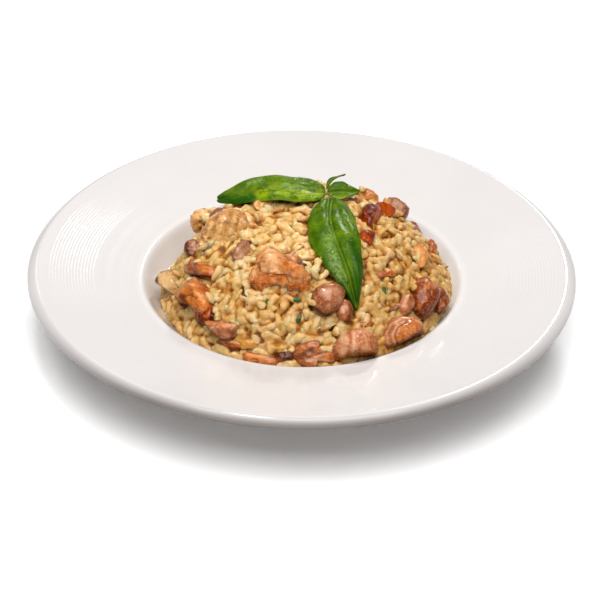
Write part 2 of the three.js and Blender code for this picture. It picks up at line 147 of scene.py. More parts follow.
# ---------------------------------------------------------------- mesh helpers
def make_object(name, points, faces, material=None):
    """A smooth mesh object at the origin from points in millimetres."""
    mesh = bpy.data.meshes.new(name)
    mesh.from_pydata((np.asarray(points, dtype=float) * MM).tolist(), [], [list(f) for f in faces])
    mesh.validate()
    mesh.shade_smooth()
    if material:
        mesh.materials.append(material)
    piece = bpy.data.objects.new(name, mesh)
    bpy.context.scene.collection.objects.link(piece)
    return piece


def vectors_of(mesh, name):
    """One vector for each of a mesh's points, as an array."""
    flat = np.empty(len(mesh.vertices) * 3)
    mesh.vertices.foreach_get(name, flat)
    return flat.reshape(-1, 3)


def points_of(mesh):
    """A mesh's points in millimetres."""
    return vectors_of(mesh, "co") / MM


def normals_of(mesh):
    return vectors_of(mesh, "normal")


def move_points(mesh, points):
    mesh.vertices.foreach_set("co", (np.asarray(points) * MM).ravel())
    mesh.update()


def set_values(mesh, name, values):
    """Keeps one number for each point under a name that materials and node trees read."""
    layer = mesh.attributes.get(name) or mesh.attributes.new(name, "FLOAT", "POINT")
    layer.data.foreach_set("value", np.broadcast_to(np.asarray(values, dtype=np.float32), len(mesh.vertices)))


def faces_of(mesh):
    return [tuple(p.vertices) for p in mesh.polygons]


def ring_angles(around):
    return np.arange(around) * TAU / around


def grid_faces(rows, columns, wrap=False):
    """Faces of a grid of rows by columns of points, closed round its columns where wrap is set."""
    faces = []
    for i in range(rows - 1):
        here, beyond = i * columns, (i + 1) * columns
        for j in range(columns if wrap else columns - 1):
            after = (j + 1) % columns
            faces.append((here + j, here + after, beyond + after, beyond + j))
    return faces


def fan_faces(tip, start, around, turned=False):
    """Triangles between a single point and a ring of points, turned over where asked."""
    ahead, behind = (1, 0) if turned else (0, 1)
    return [(tip, start + (k + ahead) % around, start + (k + behind) % around) for k in range(around)]


def shifted(faces, start, turned=False):
    """Faces whose points are numbered from a later one, turned over where asked."""
    return [tuple(start + i for i in (face[::-1] if turned else face)) for face in faces]


def bake_modifiers(piece):
    """Replaces a piece's mesh by its evaluated one and takes its modifiers away."""
    evaluated = piece.evaluated_get(bpy.context.evaluated_depsgraph_get())
    mesh = bpy.data.meshes.new_from_object(evaluated)
    piece.modifiers.clear()
    old, piece.data = piece.data, mesh
    mesh.name = piece.name
    bpy.data.meshes.remove(old)


def discard(piece):
    mesh = piece.data
    bpy.data.objects.remove(piece)
    bpy.data.meshes.remove(mesh)


def fix_outward(piece):
    """Turns a closed mesh's faces outwards."""
    solid = bmesh.new()
    solid.from_mesh(piece.data)
    bmesh.ops.recalc_face_normals(solid, faces=solid.faces)
    solid.to_mesh(piece.data)
    solid.free()


def bvh_of(piece):
    return BVHTree.FromPolygons(points_of(piece.data).tolist(), faces_of(piece.data))


def keep(piece, slot, *nodes):
    """Hands a finished piece to the frame."""
    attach(piece, "root")
    if nodes:
        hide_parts(*nodes)
    return piece


# ---------------------------------------------------------------- node helpers
def feed(socket, value):
    """Sets an input to a value, or links it to an output."""
    if isinstance(value, bpy.types.NodeSocket):
        socket.id_data.links.new(value, socket)
    else:
        socket.default_value = value


def add_node(tree, kind, values=None, **settings):
    """A node with its settings, and its inputs fed by name or number."""
    node = tree.nodes.new(kind)
    for key, value in settings.items():
        setattr(node, key, value)
    for key, value in (values or {}).items():
        feed(node.inputs[key], value)
    return node


def new_tree(name, kind, inputs, outputs):
    """A node group with named inputs and outputs: the tree, what it is given and what it returns."""
    tree = bpy.data.node_groups.new(name, kind)
    for label, socket_kind, value in inputs:
        socket = tree.interface.new_socket(label, in_out="INPUT", socket_type=f"NodeSocket{socket_kind}")
        if value is not None:
            socket.default_value = value
    for label, socket_kind in outputs:
        tree.interface.new_socket(label, in_out="OUTPUT", socket_type=f"NodeSocket{socket_kind}")
    return tree, tree.nodes.new("NodeGroupInput").outputs, tree.nodes.new("NodeGroupOutput").inputs


def new_material(name):
    material = bpy.data.materials.new(name)
    material.use_nodes = True
    tree = material.node_tree
    shader = next(n for n in tree.nodes if n.type == "BSDF_PRINCIPLED")
    return material, tree, shader


def set_shader(shader, **values):
    """Feeds the shader's own sockets; underscores stand for spaces."""
    for key, value in values.items():
        feed(shader.inputs[key.replace("_", " ")], value)


def srgb(red, green, blue):
    """A colour from its 0 to 255 values on screen."""
    return tuple(((c / 255 + 0.055) / 1.055) ** 2.4 if c > 10 else c / 3295 for c in (red, green, blue))


def ramp(tree, factor, stops):
    """A colour ramp with stops of (place, colour)."""
    node = add_node(tree, "ShaderNodeValToRGB", {"Fac": factor})
    elements = node.color_ramp.elements
    while len(elements) < len(stops):
        elements.new(0.5)
    for element, (place, colour) in zip(elements, stops):
        element.position = place
        element.color = (*colour, 1)
    return node.outputs["Color"]


def pale_to_dark(tree, factor, tones):
    """A ramp through evenly spaced tones given as 0 to 255 values."""
    return ramp(tree, factor, [(k / (len(tones) - 1), srgb(*tone)) for k, tone in enumerate(tones)])


def mix_colours(tree, factor, first, second, blend="MIX"):
    """From the first colour to the second; each is an output or a tuple of red, green and blue."""
    node = add_node(tree, "ShaderNodeMix", {0: factor}, data_type="RGBA", blend_type=blend, clamp_factor=True)
    for index, colour in ((6, first), (7, second)):
        feed(node.inputs[index], (*colour, 1) if isinstance(colour, tuple) else colour)
    return node.outputs[2]


def place_of(tree):
    return add_node(tree, "ShaderNodeTexCoord").outputs["Object"]


def axes_of(tree):
    """The object's own X, Y and Z in metres."""
    return add_node(tree, "ShaderNodeSeparateXYZ", {0: place_of(tree)}).outputs


def attribute_of(tree, name):
    return add_node(tree, "ShaderNodeAttribute", attribute_name=name).outputs["Fac"]


def noise_of(tree, scale, detail=3.0, roughness=0.5, vector=None, distortion=0.0):
    values = {"Vector": vector or place_of(tree), "Scale": scale, "Detail": detail}
    values |= {"Roughness": roughness, "Distortion": distortion}
    return add_node(tree, "ShaderNodeTexNoise", values).outputs["Fac"]


def math_of(tree, operation, first, second=0.0):
    return add_node(tree, "ShaderNodeMath", {0: first, 1: second}, operation=operation).outputs[0]


def product(tree, first, second):
    return math_of(tree, "MULTIPLY", first, second)


def swayed(tree, value, cloud, amount):
    """A value moved up and down by a noise, by up to half the amount."""
    return math_of(tree, "ADD", value, product(tree, math_of(tree, "SUBTRACT", cloud, 0.5), amount))


def share_of(tree, value, low, high, at_low=0.0, at_high=1.0):
    """A value taken from one range to another, and held at the ends."""
    ends = {"From Min": low, "From Max": high, "To Min": at_low, "To Max": at_high}
    return add_node(tree, "ShaderNodeMapRange", {"Value": value} | ends).outputs["Result"]


def bump_of(tree, height, distance, strength=1.0, normal=None):
    values = {"Height": height, "Distance": distance, "Strength": strength}
    if normal:
        values["Normal"] = normal
    return add_node(tree, "ShaderNodeBump", values).outputs["Normal"]


FILM_INPUTS = (
    ("Scale", "Float", 300.0),
    ("Dry roughness", "Float", 0.5),
    ("Wet roughness", "Float", 0.15),
    ("Relief", "Float", 0.0004),
    ("Normal", "Vector", None),
)


def wet_film_group():
    """How oil and juices lie on food: beads and smears that change gloss and relief."""
    outputs = (("Roughness", "Float"), ("Normal", "Vector"))
    group, given, result = new_tree("wet film", "ShaderNodeTree", FILM_INPUTS, outputs)
    smears = noise_of(group, given["Scale"], 2.0, 0.6, distortion=0.6)
    wetness = share_of(group, smears, 0.38, 0.62)
    gloss = share_of(group, wetness, 0.0, 1.0, given["Dry roughness"], given["Wet roughness"])
    feed(result["Roughness"], gloss)
    feed(result["Normal"], bump_of(group, smears, given["Relief"], 1.0, given["Normal"]))
    return group


def wet_film(tree, shader, film, normal, scale, dry, wet, relief):
    """Gives a shader the film's gloss, and its relief on top of a normal."""
    values = {"Scale": scale, "Dry roughness": dry, "Wet roughness": wet, "Relief": relief, "Normal": normal}
    node = add_node(tree, "ShaderNodeGroup", values, node_tree=film)
    set_shader(shader, Roughness=node.outputs["Roughness"], Normal=node.outputs["Normal"])


# ---------------------------------------------------------------- camera, lights and table
CAMERA_DISTANCE = 1200.0
CAMERA_ELEVATION = math.radians(32.85)
CAMERA_ROLL = math.radians(0.8)
CAMERA_CLIP = (0.05, 20.0)
PIXELS_PER_MM = 1.88  # at the middle of the well's edge
FRAME_PIXELS = 600.0
WELL_PIXEL = (301.76, 274.74)  # where the middle of the well's edge lies in the frame
SENSOR = 36.0
FOCAL_PIXELS = PIXELS_PER_MM * CAMERA_DISTANCE
TO_CAMERA = (0, -math.cos(CAMERA_ELEVATION), math.sin(CAMERA_ELEVATION))

BACKGROUND_COLOUR = (1.0, 0.99, 0.98, 1)
BACKGROUND_STRENGTH = 0.1
LIGHTS = (
    # name, direction, distance in metres, width and height in metres, watts
    ("window light", (0.19, 0.79, 0.58), 1.6, (0.27, 0.25), 11),
    ("small light", (-0.35, 0.75, 0.5), 1.8, (0.12, 0.3), 0.6),
    ("overhead light", (-0.03, -0.36, 0.93), 1.6, (1.35, 1.35), 38.5),
    ("sparkle light", (-0.15, 0.05, 0.98), 1.5, (0.15, 0.15), 3),
)
TABLE_REACH = 4000.0


def turn_towards(direction):
    """The turn, as a matrix, that takes +Z to a direction."""
    return direction.to_track_quat("Z", "Y").to_matrix()


def camera_pose():
    """The camera's axes as columns (right, up, back) and its place, in millimetres."""
    back = Vector(TO_CAMERA)
    turn = turn_towards(back) @ Matrix.Rotation(CAMERA_ROLL, 3, "Z")
    yaw, pitch = (math.atan((pixel - FRAME_PIXELS / 2) / FOCAL_PIXELS) for pixel in WELL_PIXEL)
    turn = turn @ Matrix.Rotation(yaw, 3, "Y") @ Matrix.Rotation(pitch, 3, "X")
    return turn, Vector((0, 0, WELL_EDGE_Z)) + back * CAMERA_DISTANCE


def make_camera():
    data = bpy.data.cameras.new("camera")
    data.sensor_width = SENSOR
    data.lens = FOCAL_PIXELS / FRAME_PIXELS * SENSOR
    data.clip_start, data.clip_end = CAMERA_CLIP
    camera = bpy.data.objects.new("camera", data)
    bpy.context.scene.collection.objects.link(camera)
    turn, place = camera_pose()
    camera.matrix_world = Matrix.Translation(place * MM) @ turn.to_4x4()
    bpy.context.scene.camera = camera


def make_softbox(name, direction, distance, size, power):
    """A rectangular light that faces the middle of the table."""
    data = bpy.data.lights.new(name, "AREA")
    data.shape = "RECTANGLE"
    data.size, data.size_y = size
    data.energy = power
    light = bpy.data.objects.new(name, data)
    bpy.context.scene.collection.objects.link(light)
    away = Vector(direction).normalized()
    light.matrix_world = Matrix.Translation(away * distance) @ turn_towards(away).to_4x4()


def make_studio():
    """A dim, even background, and colours shown without a film look."""
    world = bpy.data.worlds.new("studio")
    bpy.context.scene.world = world
    world.use_nodes = True
    background = next(n for n in world.node_tree.nodes if n.type == "BACKGROUND")
    background.inputs["Color"].default_value = BACKGROUND_COLOUR
    background.inputs["Strength"].default_value = BACKGROUND_STRENGTH
    view = bpy.context.scene.view_settings
    view.view_transform, view.look, view.exposure = "Standard", "None", 0.0


def make_table():
    material, tree, shader = new_material("table white")
    colour = ramp(tree, noise_of(tree, 3.0, 2.0), [(0.0, (0.93, 0.93, 0.93)), (1.0, (0.96, 0.96, 0.96))])
    set_shader(shader, Base_Color=colour, Roughness=0.6, Specular_IOR_Level=0.2)
    corners = [(TABLE_REACH * x, TABLE_REACH * y, 0) for x, y in ((-1, -1), (1, -1), (1, 1), (-1, 1))]
    make_object("table", corners, [(0, 1, 2, 3)], material)


# ---------------------------------------------------------------- plate
def wall_share(r):
    """0 where the well's wall leaves the floor, and 1 at the well's edge."""
    return np.maximum(0, r - FLOOR_RADIUS) / (WELL_RADIUS - FLOOR_RADIUS)


def wall_z(r):
    return FLOOR_Z + WELL_DEPTH * wall_share(r) ** WALL_POWER


def wall_slope(r):
    return WALL_POWER * WELL_DEPTH / (WELL_RADIUS - FLOOR_RADIUS) * wall_share(r) ** (WALL_POWER - 1)


def rim_z(r):
    return WELL_EDGE_Z + RIM_RISE * ((r - WELL_RADIUS) / (CREST_RADIUS - WELL_RADIUS)) ** RIM_POWER


def ring_relief(r):
    """Fine pressed ribs on the outer rim, and broad soft ones inside them."""
    pitch = (RIB_LAST - RIB_FIRST) / RIBS
    fine = 0.5 - 0.5 * math.cos(TAU * (r - RIB_FIRST) / pitch)
    height = RIB_HEIGHT * fine**RIB_POWER if RIB_FIRST < r < RIB_LAST else 0.0
    for middle, half_width, tall in BROAD_RINGS:
        height += tall * math.exp(-(((r - middle) / half_width) ** 2))
    return height


def well_edge(start, end):
    """The points of a rounded edge between two points of the profile, bent towards the well's corner."""
    corner = (WELL_RADIUS - EDGE_CORNER, WELL_EDGE_Z - EDGE_CORNER)
    for k in range(1, EDGE_STEPS):
        t = k / EDGE_STEPS
        weights = ((1 - t) ** 2, 2 * t * (1 - t), t * t)
        yield tuple(sum(w * point[i] for w, point in zip(weights, (start, corner, end))) for i in (0, 1))


def plate_profile():
    """From the middle of the well outwards over the lip and back underneath to the middle."""
    top = [(r, FLOOR_Z) for r in FLOOR_RINGS]
    top += [(r, float(wall_z(r))) for r in np.linspace(FLOOR_RADIUS, WELL_RADIUS - EDGE_INSIDE, WALL_RINGS)]
    shoulder = WELL_RADIUS + EDGE_OUTSIDE
    top += list(well_edge(top[-1], (shoulder, rim_z(shoulder))))
    top += [(r, rim_z(r) + ring_relief(r)) for r in np.linspace(shoulder, CREST_RADIUS, RIM_RINGS)]
    top += [(CREST_RADIUS + out, CREST_Z + up) for out, up in LIP_SECTION]
    under = [(UNDER_LIP, rim_z(UNDER_LIP) - UNDER_LIP_SHELL)]
    under += [(r, rim_z(r) - SHELL) for r in np.linspace(*UNDER_RIM)]
    for r in np.linspace(*UNDER_WELL):
        slope = float(wall_slope(r))
        back = SHELL / math.hypot(1, slope)
        under.append((r + back * slope, float(wall_z(r)) - back))
    under += FOOT_SECTION
    return top + under


def turned_mesh(name, profile, around, material):
    """A profile of (radius, height) turned about Z, with single points on the axis."""
    angles = ring_angles(around)
    circle = np.column_stack((np.cos(angles), np.sin(angles)))
    rows = [np.column_stack((r * circle, np.full(around, z))) for r, z in profile[1:-1]]
    points = np.vstack([[(0, 0, profile[0][1])], *rows, [(0, 0, profile[-1][1])]])
    faces = shifted(grid_faces(len(rows), around, wrap=True), 1, turned=True)
    last = len(points) - 1
    faces += fan_faces(0, 1, around) + fan_faces(last, last - around, around, turned=True)
    return make_object(name, points, faces, material)


GLAZE_TONES = ((198, 194, 192), (202, 198, 196))
LIP_SHADE = (116, 110, 107)
OIL_TINT = (0.86, 0.8, 0.74)


def glaze_material():
    """White glaze, darker and duller on the front of the lip, with oil at the left of the well."""
    material, tree, shader = new_material("white glaze")
    axes = axes_of(tree)
    flat = add_node(tree, "ShaderNodeVectorMath", {0: place_of(tree), 1: (1, 1, 0)}, operation="MULTIPLY")
    radius = add_node(tree, "ShaderNodeVectorMath", {0: flat.outputs[0]}, operation="LENGTH").outputs["Value"]
    edge = (WELL_RADIUS + 0.5) * MM
    inside = share_of(tree, radius, edge, (WELL_RADIUS - 3) * MM)
    oily = share_of(tree, axes["X"], -20 * MM, -65 * MM, 0.0, 0.8)
    on_lip = share_of(tree, radius, (CREST_RADIUS + 0.2) * MM, (PLATE_RADIUS - 0.9) * MM)
    forward = share_of(tree, axes["Y"], -30 * MM, -125 * MM, 0.05, 1.0)
    shaded = product(tree, on_lip, forward)
    from_edge = math_of(tree, "ABSOLUTE", math_of(tree, "SUBTRACT", radius, edge))
    gloss = share_of(tree, shaded, 0.0, 0.7, 0.5, 0.04)
    gloss = product(tree, gloss, share_of(tree, from_edge, 1.5 * MM, 4 * MM, 0.25, 1.0))

    pooling = noise_of(tree, 16.0, 2.0)
    colour = ramp(tree, pooling, [(0.3, srgb(*GLAZE_TONES[0])), (0.7, srgb(*GLAZE_TONES[1]))])
    colour = mix_colours(tree, product(tree, inside, oily), colour, OIL_TINT, "MULTIPLY")
    colour = mix_colours(tree, shaded, colour, srgb(*LIP_SHADE))
    roughness = share_of(tree, noise_of(tree, 900.0, 1.0), 0.0, 1.0, 0.1, 0.18)
    orange_peel = bump_of(tree, noise_of(tree, 120.0, 2.0), 0.00012, 0.5)
    set_shader(shader, Base_Color=colour, Roughness=roughness, Specular_IOR_Level=gloss, Normal=orange_peel)
    set_shader(shader, Coat_Weight=product(tree, gloss, 0.6), Coat_Roughness=0.05)
    return material


def make_plate():
    plate = turned_mesh("plate_glazed", plate_profile(), PLATE_SIDES, glaze_material())
    keep(plate, "glaze", "plate")


# ---------------------------------------------------------------- heap of rice
def hollow(angle, width):
    """1 in the middle of the place where the heap is drawn in, and 0 away from it."""
    away = np.arctan2(np.sin(angle - HOLLOW_ANGLE), np.cos(angle - HOLLOW_ANGLE))
    return np.exp(-((away / width) ** 2))


def heap_radius(angle):
    round_part = HEAP_RADIUS + HEAP_SHIFT[0] * np.cos(angle) + HEAP_SHIFT[1] * np.sin(angle)
    return round_part - HOLLOW_DEPTH * hollow(angle, HOLLOW_WIDTH)


def heap_share(x, y):
    """0 in the middle of the heap and 1 at its outline."""
    return np.minimum(1, np.hypot(x, y) / heap_radius(np.arctan2(y, x)))


def dome_z(x, y):
    """Height of the tops of the grains, as a smooth dome."""
    angle = np.arctan2(y, x)
    power = HEAP_POWER + HOLLOW_STEEPER * hollow(angle, STEEPER_WIDTH)
    edge_z = wall_z(heap_radius(angle))
    return edge_z + (HEAP_TOP_Z - edge_z) * (1 - heap_share(x, y) ** power)


def lump_z(x, y):
    """The spoon's uneven lumps on the dome."""
    broad = BROAD_LUMP * np.sin(x / BROAD_WAVE[0] + 1.1) * np.cos(y / BROAD_WAVE[1] + 0.4)
    fine = FINE_LUMP * np.sin((x + y) / FINE_WAVE[0] + 2) * np.cos((x - y) / FINE_WAVE[1])
    return (broad + fine) * (1 - heap_share(x, y) ** 4)


def heap_surface(sunk):
    """The heap's upper net, sunk below the tops of the grains, with its rim dipping into the wall."""
    angles = ring_angles(HEAP_SIDES)
    points = [(0.0, 0.0, float(dome_z(0, 0) + lump_z(0, 0) - sunk))]
    for k in range(1, HEAP_RINGS + 1):
        share = (k / HEAP_RINGS) ** NET_POWER
        r = share * heap_radius(angles)
        x, y = r * np.cos(angles), r * np.sin(angles)
        z = dome_z(x, y) + lump_z(x, y) - sunk * (1 - share**8) + NET_LIFT
        points += list(zip(x, y, np.maximum(z, wall_z(r) + WALL_GAP)))
    faces = fan_faces(0, 1, HEAP_SIDES)
    faces += shifted(grid_faces(HEAP_RINGS, HEAP_SIDES, wrap=True), 1, turned=True)
    return points, faces


def closed_core(sunk):
    """The heap's body: the sunk net above, and the wall of the well below."""
    points, faces = heap_surface(sunk)
    angles = ring_angles(HEAP_SIDES)
    outline = len(points) - HEAP_SIDES
    for share in CORE_RINGS:
        r = share * heap_radius(angles)
        points += list(zip(r * np.cos(angles), r * np.sin(angles), wall_z(r) + CORE_LIFT))
    faces += shifted(grid_faces(1 + len(CORE_RINGS), HEAP_SIDES, wrap=True), outline, turned=True)
    last = len(points)
    points.append((0.0, 0.0, FLOOR_Z + CORE_LIFT))
    faces += fan_faces(last, last - HEAP_SIDES, HEAP_SIDES, turned=True)
    return points, faces


def grain_points(length, width, thickness, bend, chip):
    """One swollen grain: rings along X, a little bent, with one end chipped shorter."""
    points = [(-length / 2, 0.0, -bend)]
    for k in range(GRAIN_RINGS):
        t = -GRAIN_END + 2 * GRAIN_END * k / (GRAIN_RINGS - 1)
        swell = (1 - abs(t) ** GRAIN_TAPER) ** 0.5 * (1 - chip * max(0, t))
        for s in range(GRAIN_SIDES):
            angle = TAU * s / GRAIN_SIDES
            y, z = (math.copysign(abs(c) ** GRAIN_SQUARENESS, c) for c in (math.cos(angle), math.sin(angle)))
            y = width / 2 * swell * y
            z = thickness / 2 * swell * z - bend * t * t
            points.append((t * length / 2 * (1 - 0.15 * chip), y, z))
    last = len(points)
    points.append((length / 2 * (1 - 0.3 * chip), 0.0, -bend))
    faces = shifted(grid_faces(GRAIN_RINGS, GRAIN_SIDES, wrap=True), 1)
    faces += fan_faces(0, 1, GRAIN_SIDES, turned=True) + fan_faces(last, last - GRAIN_SIDES, GRAIN_SIDES)
    return points, faces


def pattern_collection(name, shapes):
    """Patterns for the scatter to pick from, each from its points and faces."""
    patterns = bpy.data.collections.new(f"{name} patterns")
    for number, (points, faces) in enumerate(shapes):
        pattern = make_object(f"{name}_pattern_{number}", points, faces)
        bpy.context.scene.collection.objects.unlink(pattern)
        patterns.objects.link(pattern)
    return patterns


def grain_patterns():
    """The kinds of grain."""
    shapes = []
    for number, (length, width, thickness, bend, chip) in enumerate(GRAIN_FORMS):
        size = (GRAIN_LENGTH * length, GRAIN_WIDTH * width, GRAIN_WIDTH * thickness)
        points, faces = grain_points(*size, bend, chip)
        points = np.array(points)
        uneven = 1 + GRAIN_UNEVEN * noise_at(points, GRAIN_UNEVEN_SIZE, number + 0.3)
        shapes.append((points * uneven[:, None], faces))
    return pattern_collection("grain", shapes)


def crumb_patterns():
    """Chips of browned mushroom, about one to two and a half millimetres across."""
    unit, faces = ball(2)
    shapes = []
    for size, seed in CRUMB_FORMS:
        uneven = 1 + CRUMB_UNEVEN * noise_at(unit * 2, CRUMB_UNEVEN_SIZE, seed)
        shapes.append((unit * np.array(size) / 2 * uneven[:, None], faces))
    return pattern_collection("crumb", shapes)


SCATTER_INPUTS = (
    ("Surface", "Geometry", None),
    ("Patterns", "Collection", None),
    ("Room", "String", "room"),
    ("Spacing", "Float", 0.004),
    ("Lift", "Float", 0.0),
    ("Lift spread", "Float", 0.0),
    ("Tilt", "Float", 0.3),
    ("Smallest", "Float", 0.85),
    ("Largest", "Float", 1.15),
    ("Seed", "Int", 1),
    ("Material", "Material", None),
)
DENSEST = 4e5  # patterns to the square metre


def random_value(tree, kind, seed, offset, low, high):
    """A random number or vector between two ends, drawn from the tree's seed."""
    own_seed = math_of(tree, "ADD", seed, float(offset))
    node = add_node(tree, "FunctionNodeRandomValue", {"Seed": own_seed}, data_type=kind)
    ends, result = {"FLOAT_VECTOR": ((0, 1), 0), "FLOAT": ((2, 3), 1)}[kind]
    for index, value in zip(ends, (low, high)):
        feed(node.inputs[index], value)
    return node.outputs[result]


def random_turn(tree, given, rotation):
    """The surface's own turn, then a random one about all three axes, most about the last."""
    least = product(tree, given["Tilt"], -1.0)
    low = add_node(tree, "ShaderNodeCombineXYZ", {"X": least, "Y": least, "Z": 0.0})
    high = add_node(tree, "ShaderNodeCombineXYZ", {"X": given["Tilt"], "Y": given["Tilt"], "Z": TAU})
    angles = random_value(tree, "FLOAT_VECTOR", given["Seed"], 7, low.outputs[0], high.outputs[0])
    turn = add_node(tree, "FunctionNodeEulerToRotation", {"Euler": angles}).outputs["Rotation"]
    values = {"Rotation": rotation, "Rotate By": turn}
    return add_node(tree, "FunctionNodeRotateRotation", values, rotation_space="LOCAL").outputs["Rotation"]


def scatter_tree(name):
    """Scatters patterns over a surface: evenly spaced, turned at random and sunk by a stated depth."""
    tree, given, result = new_tree(name, "GeometryNodeTree", SCATTER_INPUTS, (("Geometry", "Geometry"),))
    seed = given["Seed"]

    def step(kind, values, **settings):
        return add_node(tree, kind, values, **settings).outputs

    room = step("GeometryNodeInputNamedAttribute", {"Name": given["Room"]}, data_type="FLOAT")["Attribute"]
    values = {"Mesh": given["Surface"], "Distance Min": given["Spacing"], "Density Max": DENSEST}
    values |= {"Density Factor": room, "Seed": seed}
    spread = step("GeometryNodeDistributePointsOnFaces", values, distribute_method="POISSON")
    values = {0: random_value(tree, "FLOAT", seed, 3, -1.0, 1.0), 1: given["Lift spread"], 2: given["Lift"]}
    lift = step("ShaderNodeMath", values, operation="MULTIPLY_ADD")[0]
    away = step("ShaderNodeVectorMath", {0: spread["Normal"], "Scale": lift}, operation="SCALE")[0]
    lifted = step("GeometryNodeSetPosition", {"Geometry": spread["Points"], "Offset": away})["Geometry"]
    values = {"Geometry": lifted, "Name": "tint", "Value": random_value(tree, "FLOAT", seed, 5, 0.0, 1.0)}
    tinted = step("GeometryNodeStoreNamedAttribute", values, data_type="FLOAT", domain="POINT")["Geometry"]
    values = {"Collection": given["Patterns"], "Separate Children": True, "Reset Children": True}
    patterns = step("GeometryNodeCollectionInfo", values)["Instances"]
    turn = random_turn(tree, given, spread["Rotation"])
    size = random_value(tree, "FLOAT", seed, 9, given["Smallest"], given["Largest"])
    values = {"Points": tinted, "Instance": patterns, "Pick Instance": True, "Rotation": turn, "Scale": size}
    placed = step("GeometryNodeInstanceOnPoints", values)["Instances"]
    real = step("GeometryNodeRealizeInstances", {"Geometry": placed})["Geometry"]
    finished = step("GeometryNodeSetMaterial", {"Geometry": real, "Material": given["Material"]})
    feed(result["Geometry"], finished["Geometry"])
    return tree


def scatter(name, surface, tree, **inputs):
    """A new piece: the tree's result on a copy of the surface."""
    piece = bpy.data.objects.new(name, surface.data.copy())
    bpy.context.scene.collection.objects.link(piece)
    modifier = piece.modifiers.new("scatter", "NODES")
    modifier.node_group = tree
    labels = {item.name: item.identifier for item in tree.interface.items_tree if item.in_out == "INPUT"}
    for label, value in inputs.items():
        modifier[labels[label.replace("_", " ")]] = value
    bake_modifiers(piece)
    piece.data.materials.clear()
    piece.data.materials.append(inputs["Material"])
    piece.data.polygons.foreach_set("material_index", [0] * len(piece.data.polygons))
    piece.data.shade_smooth()
    return piece


# ---------------------------------------------------------------- food materials
STARCH, MILK = (240, 214, 170), (222, 200, 156)
# painted shade on the right of the heap; the same tint also darkens the rice low down
RIGHT_SHADE_AND_LOW_TINT = (0.84, 0.76, 0.6)


def rice_material(name, film, tones, cloud_scale):
    """Creamy rice: paler and milky in patches where it stands proud, and golden to dark in the hollows, where
    gathered sauce and painted shade both darken it.
    """
    material, tree, shader = new_material(name)
    depth = attribute_of(tree, "depth")
    starch = noise_of(tree, 900.0, 2.0, 0.6)
    # painted shade: darker with the depth of the hollows, together with sauce gathered there
    darkness = swayed(tree, depth, noise_of(tree, cloud_scale, 3.0, 0.6), 1.3)
    darkness = swayed(tree, darkness, attribute_of(tree, "tint"), 0.35)
    darkness = swayed(tree, darkness, noise_of(tree, 70.0, 2.0, 0.5), 0.9)
    colour = pale_to_dark(tree, darkness, tones)
    colour = mix_colours(tree, product(tree, starch, 0.12), colour, srgb(*STARCH))
    milky = share_of(tree, noise_of(tree, 130.0, 3.0, 0.6), 0.46, 0.62, 0.0, 0.7)
    proud = share_of(tree, depth, 0.6, 0.1)
    colour = mix_colours(tree, product(tree, milky, proud), colour, srgb(*MILK))
    axes = axes_of(tree)
    # painted shade on the right of the heap, and darker low down
    right = share_of(tree, axes["X"], 10 * MM, 50 * MM, 0.0, 0.95)
    low = share_of(tree, axes["Z"], 58 * MM, 40 * MM, 0.0, 0.45)
    colour = mix_colours(tree, math_of(tree, "MAXIMUM", right, low), colour, RIGHT_SHADE_AND_LOW_TINT, "MULTIPLY")

    flakes = noise_of(tree, 520.0, 3.0, 0.65, distortion=1.0)
    skin = bump_of(tree, starch, 0.0002, 0.5, bump_of(tree, flakes, 0.0007, 0.6))
    wet_film(tree, shader, film, skin, 420.0, 0.34, 0.1, 0.0004)
    set_shader(shader, Base_Color=colour, Specular_IOR_Level=share_of(tree, depth, 0.2, 0.8, 0.24, 0.02))
    set_shader(shader, Subsurface_Weight=0.8, Subsurface_Scale=0.003, Subsurface_Radius=(1.0, 0.6, 0.22))
    return material


PALETTES = {
    # skin, cut flesh, browned (also used for painted shade), pale dry fibre (also used for painted
    # highlights)
    "pink": ((172, 100, 58), (188, 102, 32), (84, 34, 8), (226, 176, 134)),
    "amber": ((166, 82, 30), (200, 110, 36), (78, 28, 4), (224, 160, 98)),
    "dusky": ((148, 82, 46), (172, 92, 36), (66, 26, 6), (212, 160, 122)),
    "mauve": ((134, 76, 50), (164, 108, 70), (66, 30, 14), (202, 158, 126)),
    "glazed": ((92, 18, 0), (182, 72, 2), (44, 8, 0), (188, 90, 20)),
    "tan": ((196, 136, 72), (210, 154, 86), (92, 40, 10), (228, 190, 132)),
    "pale": ((90, 40, 10), (200, 152, 94), (62, 28, 6), (222, 184, 130)),
    "craggy": ((190, 120, 58), (194, 100, 22), (88, 34, 4), (226, 172, 120)),
    "lobed": ((118, 44, 4), (150, 66, 10), (54, 16, 0), (208, 136, 80)),
    "peach": ((172, 100, 42), (192, 120, 56), (110, 52, 12), (214, 160, 98)),
}
FIBRE_STRETCH = 4.0
LONG_FORMS = ("strip", "stem", "slice")  # their fibres run along them


